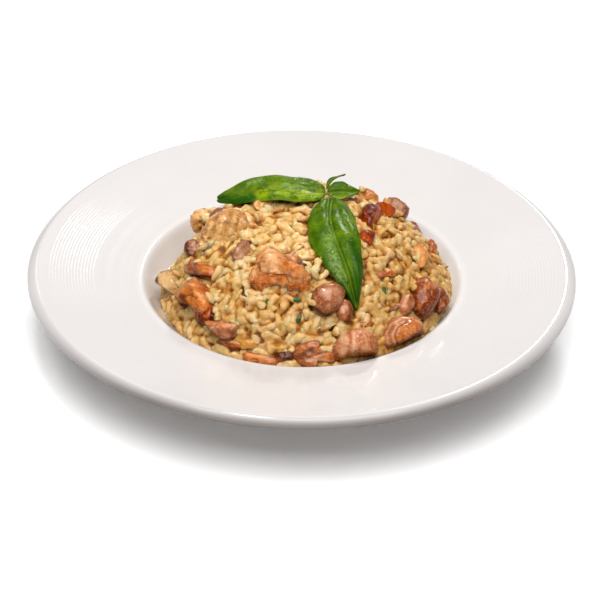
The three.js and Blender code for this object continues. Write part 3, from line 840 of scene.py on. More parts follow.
def mushroom_material(name, film):
    """Fried mushroom. Its points say where it is cut, gilled, browned or pale, where painted shade and
    painted highlights lie, and how its fibres run.
    """
    skin, flesh, browned, pale = (srgb(*tone) for tone in PALETTES[name])
    material, tree, shader = new_material(f"{name} mushroom")
    along = add_node(tree, "ShaderNodeAttribute", attribute_name="fibre").outputs["Vector"]
    mottle = noise_of(tree, 150.0, 4.0, 0.6, distortion=0.8)
    fibres = noise_of(tree, 900.0, 3.0, 0.6, along)
    fine = noise_of(tree, 1300.0, 3.0, 0.6)
    colour = mix_colours(tree, attribute_of(tree, "flesh"), skin, flesh)
    for share, tone in (
        (share_of(tree, mottle, 0.48, 0.75, 0.0, 0.6), browned),
        (share_of(tree, mottle, 0.5, 0.26, 0.0, 0.6), pale),
        (share_of(tree, fibres, 0.5, 0.72, 0.0, 0.45), pale),
        (share_of(tree, fibres, 0.47, 0.28, 0.0, 0.45), browned),
        # The gill mark holds dark gill patches and painted shade between gill ridges, the pale mark pale
        # patches and painted highlights, and the dark mark browning and painted shade in creases and under
        # lower edges.
        (attribute_of(tree, "gills"), browned),
        (attribute_of(tree, "pale"), pale),
        (attribute_of(tree, "brown"), browned),
    ):
        colour = mix_colours(tree, share, colour, tone)
    relief = bump_of(tree, mottle, 0.0012, 0.6)
    relief = bump_of(tree, fine, 0.0003, 0.5, bump_of(tree, fibres, 0.0006, 0.7, relief))
    wet_film(tree, shader, film, relief, 300.0, 0.34, 0.12, 0.0005)
    set_shader(shader, Base_Color=colour, Specular_IOR_Level=0.1, Coat_Weight=0.35, Coat_Roughness=0.06)
    set_shader(shader, Subsurface_Weight=0.15, Subsurface_Scale=0.001, Subsurface_Radius=(1.0, 0.45, 0.25))
    return material


def onion_material(film):
    material, tree, shader = new_material("soft onion")
    layers = noise_of(tree, 300.0, 2.0, 0.5, distortion=1.2)
    colour = pale_to_dark(tree, layers, ((224, 176, 96), (206, 146, 62), (176, 112, 40)))
    wet_film(tree, shader, film, bump_of(tree, layers, 0.0004, 0.5), 300.0, 0.3, 0.1, 0.0003)
    set_shader(shader, Base_Color=colour, Transmission_Weight=0.15)
    set_shader(shader, Subsurface_Weight=0.5, Subsurface_Scale=0.003)
    return material


def basil_material():
    """Basil. Its points say where its veins, young parts, shaded parts and painted sheen lie."""
    material, tree, shader = new_material("basil leaf")
    blotch = noise_of(tree, 110.0, 4.0, 0.65)
    fine = noise_of(tree, 800.0, 3.0, 0.6)
    crumples = noise_of(tree, 260.0, 2.0, 0.6, distortion=0.8)
    mottled = share_of(tree, noise_of(tree, 240.0, 3.0, 0.6), 0.38, 0.58)
    streaks = share_of(tree, fine, 0.35, 0.6)
    young = product(tree, product(tree, attribute_of(tree, "young"), mottled), 0.7)
    shade = product(tree, attribute_of(tree, "shade"), 0.8)
    # painted sheen: pale green streaks laid where the leaf gleams
    bloom = product(tree, product(tree, attribute_of(tree, "bloom"), streaks), 0.7)
    colour = ramp(tree, blotch, [(0.32, srgb(42, 72, 0)), (0.5, srgb(64, 94, 0)), (0.72, srgb(96, 120, 0))])
    for share, tone in (
        (attribute_of(tree, "vein"), srgb(104, 126, 10)),
        (young, srgb(146, 164, 6)),
        (shade, srgb(24, 66, 6)),
        (bloom, srgb(132, 158, 84)),
    ):
        colour = mix_colours(tree, share, colour, tone)
    relief = bump_of(tree, fine, 0.00025, 0.6, bump_of(tree, crumples, 0.001, 0.7))
    roughness = share_of(tree, blotch, 0.0, 1.0, 0.2, 0.36)
    set_shader(shader, Base_Color=colour, Roughness=roughness, Normal=relief)
    set_shader(shader, Specular_IOR_Level=0.08, Coat_Weight=0.04)
    set_shader(shader, Subsurface_Weight=0.1, Subsurface_Scale=0.001, Subsurface_Radius=(0.5, 1.0, 0.2))
    return material


def herb_material():
    material, tree, shader = new_material("chopped herb")
    cells = noise_of(tree, 700.0, 2.0)
    colour = pale_to_dark(tree, cells, ((20, 62, 34), (34, 84, 44), (70, 112, 60)))
    set_shader(shader, Base_Color=colour, Roughness=0.35, Normal=bump_of(tree, cells, 0.0002, 0.5))
    set_shader(shader, Subsurface_Weight=0.1, Subsurface_Scale=0.001)
    return material


def sauce_material():
    material, tree, shader = new_material("golden sauce")
    swirl = noise_of(tree, 140.0, 3.0, 0.55, distortion=0.8)
    colour = pale_to_dark(tree, swirl, ((232, 208, 150), (214, 178, 96), (190, 146, 60)))
    set_shader(shader, Base_Color=colour, Roughness=0.12, Normal=bump_of(tree, swirl, 0.0002, 0.4))
    set_shader(shader, Transmission_Weight=0.35, IOR=1.45, Subsurface_Weight=0.2, Subsurface_Scale=0.002)
    return material


def droplet_material():
    material, tree, shader = new_material("clear droplet")
    haze = noise_of(tree, 1500.0, 1.0)
    roughness = share_of(tree, haze, 0.0, 1.0, 0.0, 0.08)
    set_shader(shader, Roughness=roughness, Normal=bump_of(tree, haze, 0.00005, 0.2))
    set_shader(shader, Base_Color=(1, 1, 0.97, 1), Transmission_Weight=1.0, IOR=1.36)
    return material


def crumb_material(film):
    material, tree, shader = new_material("browned crumb")
    char = noise_of(tree, 600.0, 3.0, 0.6)
    set_shader(shader, Base_Color=pale_to_dark(tree, char, ((168, 104, 56), (126, 70, 36), (72, 38, 22))))
    wet_film(tree, shader, film, bump_of(tree, char, 0.0004, 0.6), 500.0, 0.5, 0.2, 0.0002)
    return material


# ---------------------------------------------------------------- placing on the heap
def frame_on_heap(at, heading, roll=0.0, lift=0.0):
    """A frame standing on the heap: Z leaves the dome squarely and X points to the heading."""
    x, y = at
    step = 6
    slope_x = (dome_z(x - step, y) - dome_z(x + step, y)) / (2 * step)
    slope_y = (dome_z(x, y - step) - dome_z(x, y + step)) / (2 * step)
    normal = Vector((slope_x, slope_y, 1)).normalized()
    side = normal.cross(Vector((math.cos(heading), math.sin(heading), 0))).normalized()
    basis = Matrix((side.cross(normal), side, normal)).transposed().to_4x4()
    place = Vector((x, y, float(dome_z(x, y)))) + normal * lift
    return Matrix.Translation(place) @ basis @ Matrix.Rotation(roll, 4, "X")


def moved(points, matrix):
    """Points in millimetres after a move by a matrix of four by four."""
    m = np.array(matrix)
    return np.asarray(points) @ m[:3, :3].T + m[:3, 3]


def smooth_step(low, high, value):
    t = np.clip((np.asarray(value, dtype=float) - low) / (high - low), 0, 1)
    return t * t * (3 - 2 * t)


def noise_at(points, scale, seed):
    """Smooth noise from -1 to 1 at points in millimetres; scale is the size of its features."""
    shift = Vector((seed * 7.3, seed * 3.1, seed * 5.7))
    return np.array([noise.noise(Vector(p) / scale + shift) for p in points])


def seen_from_front(points):
    """Where points in millimetres fall in the front view's frame, in its pixels from the top left."""
    turn, place = camera_pose()
    across, up, back = ((np.asarray(points) - np.array(place)) @ np.array(turn)).T
    return FRAME_PIXELS / 2 + FOCAL_PIXELS * across / -back, FRAME_PIXELS / 2 + FOCAL_PIXELS * up / back


def distance_to_line(x, y, line):
    """Distance in the frame from each point to a line of several stretches."""
    nearest = np.full(len(x), 1e9)
    for (ax, ay), (bx, by) in zip(line, line[1:]):
        dx, dy = bx - ax, by - ay
        share = np.clip(((x - ax) * dx + (y - ay) * dy) / (dx * dx + dy * dy), 0, 1)
        nearest = np.minimum(nearest, np.hypot(x - ax - share * dx, y - ay - share * dy))
    return nearest


# ---------------------------------------------------------------- mushrooms
BELOW = (0, 0, -1, 0.6)
EDGE_ROUNDING, CUT_DEPTH = 0.035, 0.12  # as shares of half a piece's size
LUMP_WAVE = 0.09
TRIM_DISTANCE = (0.8, 0.94)  # from the middle of a piece to the flat faces that chance adds
COARSE_RELIEF, COARSE_SIZE = 0.035, 0.35  # as shares of a piece's least dimension
FINE_RELIEF, FINE_SIZE = 0.25, 1.9
# the middle number: how strongly painted shade darkens the middle of a crease
CREASE_SIZE, CREASE_SHADE, CREASE_WIDTH = 0.3, 0.4, 0.04
GRIT_RELIEF, GRIT_SIZE = 0.45, 1.3
PIT_RELIEF, PIT_SIZE, PIT_BROWN = 0.9, 3.6, 0.5
CUT_EDGE_BROWN = 0.35
FORMS = {
    # how boxy, how narrow at the far end, droop of both ends, flat faces as direction and distance
    "cap": (2.0, 0.15, 0.0, (BELOW,)),
    "half": (2.2, 0.1, 0.05, (BELOW, (0, -1, 0.25, 0.35))),
    "wedge": (2.4, 0.55, 0.0, (BELOW, (0, -0.8, 0.6, 0.4))),
    "stem": (3.0, 0.2, 0.05, (BELOW,)),
    "strip": (3.2, 0.25, 0.25, (BELOW,)),
}
MUSHROOMS = {
    # form, place on the heap, length, width and height, heading, lift, palette
    "cap_front": ("cap", (13, -55.5), (19, 16.5, 14.5), 0.9, 3.2, "dusky"),
    "stem_front": ("stem", (21.5, -58.5), (11.5, 9, 9), 1.7, 1.2, "pink"),
    "folded_front": ("half", (27, -69.5), (23, 21, 21), 0.1, 4.2, "pink"),
    "ringed_right": ("half", (50.5, -56), (25, 20, 17), 0.5, 3, "pink"),
    "lobed_right": ("cap", (61, -33.5), (23, 17, 17), -1.3, 2.5, "lobed"),
    "lobe_right": ("cap", (69, -28), (16, 12, 13), -1.3, 2.5, "lobed"),
    "stem_right": ("stem", (53, -43), (13, 8, 8), 1.5, 1, "pink"),
    "slice_front": ("slice", (7, -74), (22, 15, 6), 3.0, 1.5, "dusky"),
    "dark_front": ("stem", (-8, -74), (10, 7, 6), 0, 0, "amber"),
    "strip_front": ("strip", (-20, -73), (20, 8, 7), -0.2, 1, "amber"),
    "onion_front": ("strip", (-26, -67), (11, 6, 4), 0.1, 1, "onion"),
    "pointed_front": ("wedge", (-39.5, -56.5), (20, 16, 13), 2.7, 2, "dusky"),
    "strip_left": ("strip", (-36, -63), (16, 6, 5), -0.4, 0.5, "amber"),
    "browned_left": ("half", (-54, -38.5), (27, 23, 15), -0.8, 2.2, "amber"),
    "lobe_left": ("cap", (-47.5, -48.5), (14, 12, 10), -0.5, 1, "glazed"),
    "pale_left": ("half", (-68, -13.5), (21, 17, 14), -0.7, 2.5, "pale"),
    "amber_left": ("strip", (-51.5, -25), (26, 10, 9), -0.6, 0.8, "amber"),
    "mauve_left": ("strip", (-52, -33), (14, 6, 5), -0.6, 0, "mauve"),
    "craggy_middle": ("half", (-10.5, -46), (32, 30, 15), -0.2, 1.2, "craggy"),
    "mauve_middle": ("wedge", (-30, -27), (14, 13, 9), 0.6, 0.5, "mauve"),
    "gilled_left": ("half", (-41, -8), (28, 29, 12), 0.1, 1.2, "tan"),
    "cap_far_left": ("cap", (-57, -4), (11, 9, 9), 1.4, 1, "mauve"),
    "pink_far_left": ("wedge", (-50, 20), (16, 15, 12), 1.2, 4, "tan"),
    "mauve_far_left": ("cap", (-44, 9), (11, 9, 8), 0.3, 1, "mauve"),
    "tan_under_leaf": ("wedge", (-21, 8), (10, 9, 7), 0.4, 1, "tan"),
    "glazed_top": ("half", (36.5, 3), (19, 14, 11), 1.2, 1.5, "glazed"),
    "amber_top": ("wedge", (43, 17), (12, 11, 9), 0.4, 1.5, "glazed"),
    "amber_bit_top": ("stem", (33, -16.5), (11, 9, 7), 1.4, 0.5, "glazed"),
    "mauve_bit_top": ("cap", (27, 17), (8, 7, 6), 0.2, 0, "mauve"),
    "amber_crest": ("wedge", (34, 29), (13, 10, 9), 0.2, 2, "peach"),
    "cap_crest": ("cap", (49, 32), (16, 13, 12), -0.7, 3, "mauve"),
    "peach_right": ("wedge", (61.5, -8), (16, 11, 9), -1.3, 1, "peach"),
    "strip_right": ("strip", (68, 16), (14, 6, 6), 1.6, 2, "amber"),
    "brown_bit_right": ("strip", (43, -35), (12, 5, 5), 0.3, 0.5, "amber"),
    "grey_bit_right": ("wedge", (48, -48), (10, 7, 6), 0.8, 0, "mauve"),
    "thin_bit_front": ("strip", (33, -60), (11, 4, 4), 0.1, 0.5, "amber"),
    "cap_back": ("cap", (4, 56), (19, 16, 10), 0.4, 0, "pink"),
    "half_back_left": ("half", (-29, 52), (20, 16, 12), 2.9, 1.5, "tan"),
    "slice_back_right": ("slice", (33, 56), (22, 17, 6), 0.9, 1, "amber"),
    "wedge_back": ("wedge", (-9, 68), (16, 12, 10), 2, 1, "pink"),
    "stem_back_left": ("stem", (-50, 38), (15, 9, 8), 0.7, 0.5, "peach"),
    "cap_back_right": ("cap", (59, 42), (14, 12, 10), 2.4, 0.5, "mauve"),
}
FINE_PIECES = (
    "cap_front", "folded_front", "ringed_right", "lobed_right", "lobe_right", "slice_front",
    "pointed_front", "browned_left", "pale_left", "craggy_middle", "gilled_left", "half_back_left",
)

# How rough a piece is where it isn't usual, as a multiple of the usual relief, and about how deep
# its torn creases are in millimetres.
ROUGH_PIECES = {
    "craggy_middle": 1.6, "pale_left": 0.4, "glazed_top": 1.4, "cap_front": 0.5, "pink_far_left": 1.6,
}
USUAL_CREASE = 0.3
CREASED_PIECES = {
    "craggy_middle": 2.2, "pink_far_left": 1.5, "browned_left": 0.7, "amber_crest": 1.2, "glazed_top": 0.8,
    "cap_front": 0.0, "pale_left": 0.0, "gilled_left": 0.0, "ringed_right": 0.0, "folded_front": 0.0,
}
PITTED_PIECES = ("craggy_middle", "pink_far_left", "amber_crest", "gilled_left")
GILLED_PIECES = {"gilled_left": "all over", "half_back_left": "cut flesh"}
LEAF_GAP = 0.6  # between a piece and a leaf above it

# Features of single pieces, in the front view's frame: what they are, the line they follow,
# their half width, how strongly they colour, and how far they stand out or sink in, in millimetres.
# Beside real pale patches, some pale marks are painted highlights near the tops of pieces, and beside
# real browning, some dark marks are painted shade along their lower edges and undersides.
MARKS = {
    "cap_front": [
        ("brown", [(311, 298), (314, 308), (324, 316), (334, 313)], 2.0, 0.9, -0.4),
        ("pale", [(322, 293), (330, 290), (338, 292)], 3.4, 0.35, 0.2),
        ("flesh", [(318, 306), (328, 307)], 5.0, 0.4, 0.0),
    ],
    "folded_front": [
        ("pale", [(342, 331), (344, 342), (343, 352)], 3.6, 0.49, 0.3),
        ("brown", [(349, 330), (350, 342), (347, 356)], 0.8, 0.2, -0.54),
        ("pale", [(353, 332), (354, 344), (353, 352)], 1.6, 0.45, 0.24),
        ("brown", [(359, 333), (361, 345), (359, 356)], 0.8, 0.13, -0.36),
        ("pale", [(365, 336), (367, 346)], 1.2, 0.26, 0.12),
        ("brown", [(371, 338), (373, 350)], 0.8, 0.23, -0.36),
        ("flesh", [(339, 353), (345, 358), (354, 360)], 4.0, 0.65, 0.36),
        ("brown", [(336, 361), (356, 362), (374, 354)], 1.4, 0.52, -0.18),
    ],
    "ringed_right": [
        ("pale", [(388, 343), (386, 334), (391, 325), (402, 318), (412, 318)], 1.3, 0.36, 0.3),
        ("brown", [(391, 344), (389, 335), (393, 327), (402, 321)], 0.7, 0.16, -0.24),
        ("pale", [(395, 344), (392, 335), (396, 327), (404, 322)], 1.0, 0.33, 0.3),
        ("brown", [(398, 345), (395, 335), (399, 327), (406, 322)], 0.9, 0.65, -0.42),
        ("flesh", [(402, 337), (407, 330), (417, 324)], 6.5, 1.0, 0.3),
        ("pale", [(416, 321), (422, 324)], 1.6, 0.39, 0.12),
        ("brown", [(400, 349), (411, 342), (424, 331)], 3.4, 0.65, -0.6),
    ],
    "lobed_right": [
        ("brown", [(414, 290), (414, 302), (417, 313)], 1.3, 0.3, -0.5),
        ("flesh", [(419, 285), (418, 298), (421, 310)], 2.2, 0.48, 0.2),
        ("brown", [(423, 284), (423, 298), (425, 313)], 0.8, 0.18, -0.3),
        ("pale", [(425, 284), (425, 291)], 1.6, 0.3, 0.2),
        ("flesh", [(427, 292), (428, 308)], 1.8, 0.42, 0.15),
        ("brown", [(431, 286), (431, 300)], 0.9, 0.21, -0.35),
    ],
    "lobe_right": [
        ("brown", [(434, 290), (434, 303), (437, 313)], 1.6, 0.54, -0.45),
        ("flesh", [(440, 292), (440, 306)], 2.2, 0.48, 0.15),
        ("brown", [(445, 294), (446, 306)], 1.2, 0.3, -0.2),
    ],
    "stem_right": [
        ("pale", [(405, 297), (404, 308)], 2.4, 0.35, 0.24),
        ("brown", [(411, 296), (412, 312)], 1.4, 0.56, -0.24),
    ],
    "slice_front": [
        ("gills", [(298, 357), (305, 353), (312, 350)], 3.0, 0.7, -0.3),
        ("brown", [(296, 360), (310, 357), (326, 352)], 1.0, 0.56, -0.3),
        ("flesh", [(303, 362), (316, 359), (331, 362)], 3.4, 0.7, 0.15),
        ("pale", [(308, 361), (324, 360)], 1.4, 0.42, 0.1),
        ("brown", [(294, 364), (310, 367), (334, 365)], 1.0, 0.49, -0.1),
    ],
    "pointed_front": [
        ("brown", [(206, 338), (222, 341), (240, 337)], 1.5, 0.72, -0.24),
        ("pale", [(224, 326), (238, 326)], 1.8, 0.72, 0.32),
        ("pale", [(210, 331), (219, 319)], 1.0, 0.4, 0.24),
        ("brown", [(222, 318), (215, 326), (209, 335)], 0.8, 0.32, -0.32),
    ],
    "browned_left": [
        ("flesh", [(180, 290), (190, 288), (198, 294)], 5.0, 0.8, 0.5),
        ("flesh", [(188, 300), (198, 302), (206, 310)], 5.0, 1.0, 0.5),
        ("pale", [(189, 284), (193, 285)], 1.6, 0.8, 0.3),
        ("pale", [(195, 292), (198, 294)], 1.6, 0.7, 0.3),
        ("brown", [(183, 296), (191, 295), (197, 298)], 1.0, 0.6, -0.7),
        ("gills", [(182, 297), (186, 306), (192, 314)], 3.2, 0.9, -0.6),
        ("brown", [(186, 307), (187, 316), (194, 320)], 1.6, 0.8, -0.5),
    ],
    "lobe_left": [
        ("brown", [(216, 303), (213, 313), (208, 325)], 1.3, 1.0, -0.9),
        ("pale", [(204, 316), (207, 317)], 1.4, 0.7, 0.3),
        ("flesh", [(212, 305), (208, 316)], 1.2, 0.8, 0.4),
    ],
    "pale_left": [
        ("flesh", [(164, 279), (169, 287), (175, 293)], 10.0, 1.0, 0.0),
        ("pale", [(164, 277), (167, 286)], 4.0, 0.6, 0.0),
        ("brown", [(156, 277), (157, 288), (163, 297), (170, 301)], 1.8, 1.0, 0.3),
        ("brown", [(176, 296), (168, 300)], 1.2, 0.8, -0.2),
    ],
    "amber_left": [
        ("brown", [(186, 262), (190, 270), (196, 274)], 3.6, 0.45, 0.0),
        ("pale", [(198, 262), (210, 263), (220, 266)], 1.6, 0.9, 0.5),
        ("flesh", [(202, 269), (214, 271)], 3.0, 0.9, 0.0),
        ("brown", [(190, 276), (204, 277), (219, 277)], 1.4, 1.0, -0.5),
    ],
    "mauve_left": [
        ("pale", [(191, 281), (206, 283)], 1.0, 0.8, 0.3),
        ("brown", [(194, 286), (207, 288)], 1.2, 0.9, -0.4),
    ],
    "craggy_middle": [
        ("pale", [(268, 254), (273, 261)], 5.5, 0.75, 0.9),
        ("pale", [(262, 267), (276, 270)], 3.4, 0.6, 0.4),
        ("brown", [(284, 254), (293, 259), (300, 262)], 1.0, 0.7, -0.9),
        ("brown", [(300, 259), (306, 263), (310, 268)], 2.4, 1.0, -0.9),
        ("brown", [(262, 273), (270, 274), (276, 271)], 1.1, 0.5, -1.2),
        ("brown", [(284, 274), (288, 281), (286, 290)], 1.0, 0.5, -1.2),
        ("brown", [(256, 262), (259, 270)], 1.4, 0.6, -0.7),
        ("flesh", [(288, 262), (294, 272)], 6.0, 0.9, 0.3),
        ("pale", [(276, 282), (284, 286)], 2.6, 0.4, 0.3),
    ],
    "gilled_left": [
        ("brown", [(198, 250), (212, 253), (226, 255), (240, 252)], 2.4, 1.0, -0.6),
        ("pale", [(200, 245), (216, 247), (234, 247)], 1.6, 0.8, 0.6),
        ("pale", [(212, 222), (206, 240)], 1.2, 0.4, 0.4),
        ("pale", [(224, 216), (217, 242)], 1.3, 0.45, 0.4),
        ("pale", [(236, 210), (229, 238)], 1.2, 0.4, 0.4),
        ("brown", [(218, 218), (211, 240)], 0.8, 0.25, -0.6),
        ("brown", [(230, 212), (223, 240)], 0.8, 0.25, -0.6),
        ("brown", [(241, 210), (236, 232)], 0.8, 0.25, -0.6),
    ],
    "glazed_top": [
        ("flesh", [(363, 224), (369, 229)], 4.0, 1.0, 0.3),
        ("brown", [(364, 206), (369, 212), (373, 218)], 2.4, 0.5, -0.4),
        ("pale", [(366, 208), (368, 210)], 0.9, 0.5, 0.2),
    ],
    "amber_bit_top": [("flesh", [(362, 238), (368, 242)], 5.0, 1.0, 0.0)],
    "amber_top": [("flesh", [(382, 208), (388, 214)], 5.0, 1.0, 0.0)],
    "cap_crest": [
        ("pale", [(384, 197), (388, 202), (386, 210)], 2.4, 0.8, 0.3),
        ("brown", [(392, 217), (402, 222), (408, 220)], 1.6, 0.7, -0.2),
        ("pale", [(396, 202), (402, 206)], 2.0, 0.4, 0.1),
    ],
    "mauve_middle": [
        ("brown", [(250, 241), (255, 249), (255, 259)], 1.8, 0.9, -0.4),
        ("pale", [(238, 250), (242, 256)], 2.4, 0.5, 0.2),
    ],
    "cap_far_left": [
        ("pale", [(194, 244), (196, 249)], 2.4, 0.7, 0.2),
        ("brown", [(186, 243), (187, 254), (193, 258)], 1.8, 0.8, -0.2),
    ],
    "pink_far_left": [
        ("pale", [(202, 210), (206, 217)], 2.6, 0.8, 0.5),
        ("flesh", [(194, 222), (198, 228)], 3.0, 0.9, 0.1),
        ("brown", [(200, 222), (206, 226), (208, 234)], 1.2, 0.8, -0.6),
    ],
    "stem_front": [
        ("brown", [(350, 304), (352, 313), (347, 322)], 2.0, 0.8, -0.3),
        ("pale", [(340, 305), (343, 312)], 1.8, 0.5, 0.2),
    ],
    "strip_front": [
        ("brown", [(272, 352), (279, 358)], 3.0, 0.8, -0.2),
        ("pale", [(248, 355), (262, 357)], 1.8, 0.7, 0.2),
    ],
    "dark_front": [("brown", [(278, 354), (290, 356)], 5.0, 1.0, 0.0)],
    "strip_left": [
        ("pale", [(222, 341), (238, 343)], 1.0, 0.8, 0.2),
        ("brown", [(222, 349), (238, 351)], 1.2, 0.7, 0.0),
    ],
    "peach_right": [
        ("pale", [(418, 250), (420, 258)], 2.6, 0.6, 0.2),
        ("brown", [(426, 252), (426, 264)], 1.2, 0.5, 0.0),
    ],
}


@functools.cache
def ball(subdivisions):
    """Points and faces of an even ball of radius 1."""
    solid = bmesh.new()
    bmesh.ops.create_icosphere(solid, subdivisions=subdivisions, radius=1)
    points = np.array([v.co[:] for v in solid.verts])
    faces = [tuple(v.index for v in f.verts) for f in solid.faces]
    solid.free()
    return points, faces


def lump_points(unit, form, size, seed):
    """A lump in one of the forms, and how far each of its points lies on cut flesh."""
    boxy, taper, droop, cuts = FORMS[form]
    p = unit.copy()
    x, y, z = p.T
    wave = 1 + LUMP_WAVE * np.sin(3.1 * x + 2.3 * y + seed) * np.cos(2.7 * z - 1.9 * y + 2 * seed)
    p *= (wave * (np.abs(p) ** boxy).sum(axis=1) ** (-1 / boxy))[:, None]
    flesh = np.zeros(len(p))
    rng = np.random.default_rng(seed + 40)
    trims = [(*rng.normal(size=3), rng.uniform(*TRIM_DISTANCE)) for _ in range(0 if form == "cap" else 2)]
    for cut in (*cuts, *trims):
        normal = np.array(cut[:3]) / np.linalg.norm(cut[:3])
        over = EDGE_ROUNDING * np.logaddexp(0, (p @ normal - cut[3]) / EDGE_ROUNDING)
        p -= over[:, None] * normal
        if cut in cuts and cut is not BELOW:
            flesh = np.maximum(flesh, smooth_step(EDGE_ROUNDING, CUT_DEPTH, over))
    p[:, 1] *= 1 - taper * (p[:, 0] + 1) / 2
    p[:, 2] -= droop * p[:, 0] ** 2
    return p * np.array(size) / 2, flesh


def slice_outline(length, width):
    """Points all along the outline of a slice through cap and stem, which lies along X."""
    end, cap_base, stem = length / 2, -0.08 * length, 0.2 * width
    arc = np.linspace(-math.pi / 2, math.pi / 2, 60)
    corners = [(-end, stem), (-end, -stem), (cap_base, -stem)]
    corners += [(cap_base + (end - cap_base) * math.cos(a), width / 2 * math.sin(a)) for a in arc]
    corners = np.array(corners + [(cap_base, stem), (-end, stem)])
    walk = np.linspace(0, len(corners) - 1, 900)
    return np.column_stack([np.interp(walk, range(len(corners)), corners[:, i]) for i in (0, 1)])


def slice_points(unit, size):
    """A slice through cap and stem, with its ends drooping, and how far each point lies on cut flesh."""
    length, width, height = size
    outline = slice_outline(length, width)
    angles = np.arctan2(outline[:, 1], outline[:, 0])
    order = np.argsort(angles)
    reach = np.hypot(*outline.T)
    flat = np.hypot(unit[:, 0], unit[:, 1])
    norm = (flat**6 + np.abs(unit[:, 2]) ** 6) ** (1 / 6)
    angle = np.arctan2(unit[:, 1], unit[:, 0])
    r = np.interp(angle, angles[order], reach[order], period=TAU) * (flat / norm)
    x, y = r * np.cos(angle), r * np.sin(angle)
    z = height / 2 * unit[:, 2] / norm - 0.5 * height * x**2 / (length / 2) ** 2
    return np.column_stack((x, y, z)), smooth_step(0.96, 0.88, flat / norm)


def gill_fan(local, size):
    """Gill ridges that spread from the stalk over the face of half a cap: their relief, and painted shade in
    the gaps between them.
    """
    x, y, z = (local / np.array(size)).T
    angle = np.arctan2(x + 0.35, y + 0.9)
    wave = np.sin(30 * angle + 3 * z + 1.4 * np.sin(7 * angle))
    top = smooth_step(-0.1, 0.25, z)
    return 0.5 * wave * top, 0.25 * smooth_step(0.0, -0.9, wave) * top


def rough_relief(name, local, size, seed):
    """How far the points of a piece stand out, with painted shade in its creases, and how dark its pits are.
    """
    least, most = min(size), max(size)
    rough = COARSE_RELIEF * least * noise_at(local, COARSE_SIZE * least, seed)
    rise = ROUGH_PIECES.get(name, 1) * (rough + FINE_RELIEF * noise_at(local, FINE_SIZE, seed + 0.5))
    crease = CREASED_PIECES.get(name, USUAL_CREASE)
    fold = np.abs(noise_at(local, CREASE_SIZE * most, seed + 0.8))
    rise += crease * (2.2 * fold - 0.6)
    brown = CREASE_SHADE * min(1, crease) * np.exp(-((fold / CREASE_WIDTH) ** 2))
    if name in PITTED_PIECES:
        grit = noise_at(local, GRIT_SIZE, seed + 0.2)
        rise += GRIT_RELIEF * grit + PIT_RELIEF * noise_at(local, PIT_SIZE, seed + 0.4)
        brown = np.maximum(brown, PIT_BROWN * smooth_step(-0.35, -0.6, grit))
    return rise, brown


def add_marks(name, mesh, values, rise):
    """Adds a piece's own marks to its colours and relief, on the side that faces the front view."""
    x, y = seen_from_front(points_of(mesh))
    facing = smooth_step(-0.3, 0.2, normals_of(mesh) @ np.array(TO_CAMERA))
    for kind, line, half_width, amount, height in MARKS.get(name, ()):
        reach = distance_to_line(x, y, line) / half_width
        mask = np.exp(-(reach**4) * 0.7) * facing
        values[kind] = values[kind] * (1 - mask * amount) + mask * amount
        rise += height * np.exp(-(reach**2)) * facing


def tucked_under(points, middle, covers):
    """Draws points back to where a line from the piece's middle first meets a leaf above it."""
    for cover in covers:
        for i, p in enumerate(points):
            away = Vector(p) - middle
            hit = cover.ray_cast(middle, away.normalized(), away.length + LEAF_GAP)
            if hit[0] is not None:
                points[i] = middle + away.normalized() * max(0.5, hit[3] - LEAF_GAP)
    return points


def make_mushroom(name, row, seed, materials, covers):
    """One piece of fried mushroom or onion, kept under the leaves that cover it."""
    form, at, size, heading, lift, palette = row
    kind = "onion" if palette == "onion" else "mushroom"
    node = f"{kind}_{name.removeprefix('onion_')}"
    unit, faces = ball(5 if name in FINE_PIECES else 4)
    local, flesh = slice_points(unit, size) if form == "slice" else lump_points(unit, form, size, seed)
    matrix = frame_on_heap(at, heading, lift=lift)
    piece = make_object(f"{node}_fried", moved(local, matrix), faces, materials[palette])
    mesh = piece.data

    rise, brown = rough_relief(name, local, size, seed)
    brown = np.maximum(brown, CUT_EDGE_BROWN * (4 * flesh * (1 - flesh)))
    nothing = np.zeros(len(local))
    values = {"flesh": flesh, "gills": nothing, "brown": brown, "pale": nothing}
    if name in GILLED_PIECES:
        # painted shade in the gaps between the gill ridges
        ridges, cleft_shade = gill_fan(local, size)
        rise += ridges
        values["gills"] = cleft_shade * flesh if GILLED_PIECES[name] == "cut flesh" else cleft_shade
    add_marks(name, mesh, values, rise)
    world = points_of(mesh) + normals_of(mesh) * rise[:, None]
    move_points(mesh, tucked_under(world, matrix.translation, covers))

    for key, value in values.items():
        set_values(mesh, key, np.clip(value, 0, 1))
    stretch = np.array((FIBRE_STRETCH, 1, 1) if form in LONG_FORMS else (1, 1, FIBRE_STRETCH))
    fibre = mesh.attributes.new("fibre", "FLOAT_VECTOR", "POINT")
    fibre.data.foreach_set("vector", ((local / stretch + 40 * seed) * MM).astype(np.float32).ravel())
    return keep(piece, kind, node)


# ---------------------------------------------------------------- basil
LEAVES = {
    # spine from stalk to tip, direction across, half width, fold, how blunt at the stalk and at the tip
    "basil_leaf_front": (
        ((15.2, 10.5, 71.6), (14.6, -9, 72), (17.3, -27, 69.6), (23, -43, 62.5), (28.3, -57.5, 47.8)),
        (1, 0.12, 0.1), 12.9, -0.12, (0.38, 0.85),
    ),
    "basil_leaf_left": (
        ((11.5, 17, 71), (-3, 18.5, 72), (-18, 19.5, 71.6), (-32, 20.5, 68.4), (-45, 20.5, 63.6)),
        (0.05, 1, 0.05), 12.6, 0.08, (0.5, 0.4),
    ),
    "basil_leaf_small": (
        ((13, 17.5, 71.3), (18.5, 18, 72), (24.5, 18.5, 71.8), (30, 19.5, 70.5)),
        (-0.2, 1, 0.3), 6, 0.15, (0.6, 0.8),
    ),
    "basil_shoot": (
        ((12.5, 21, 71.8), (14, 24.5, 74.2), (18, 26, 76.2), (22.5, 27.5, 77)),
        (-0.2, 1, 0.5), 1.0, 0.2, (0.5, 0.7),
    ),
}
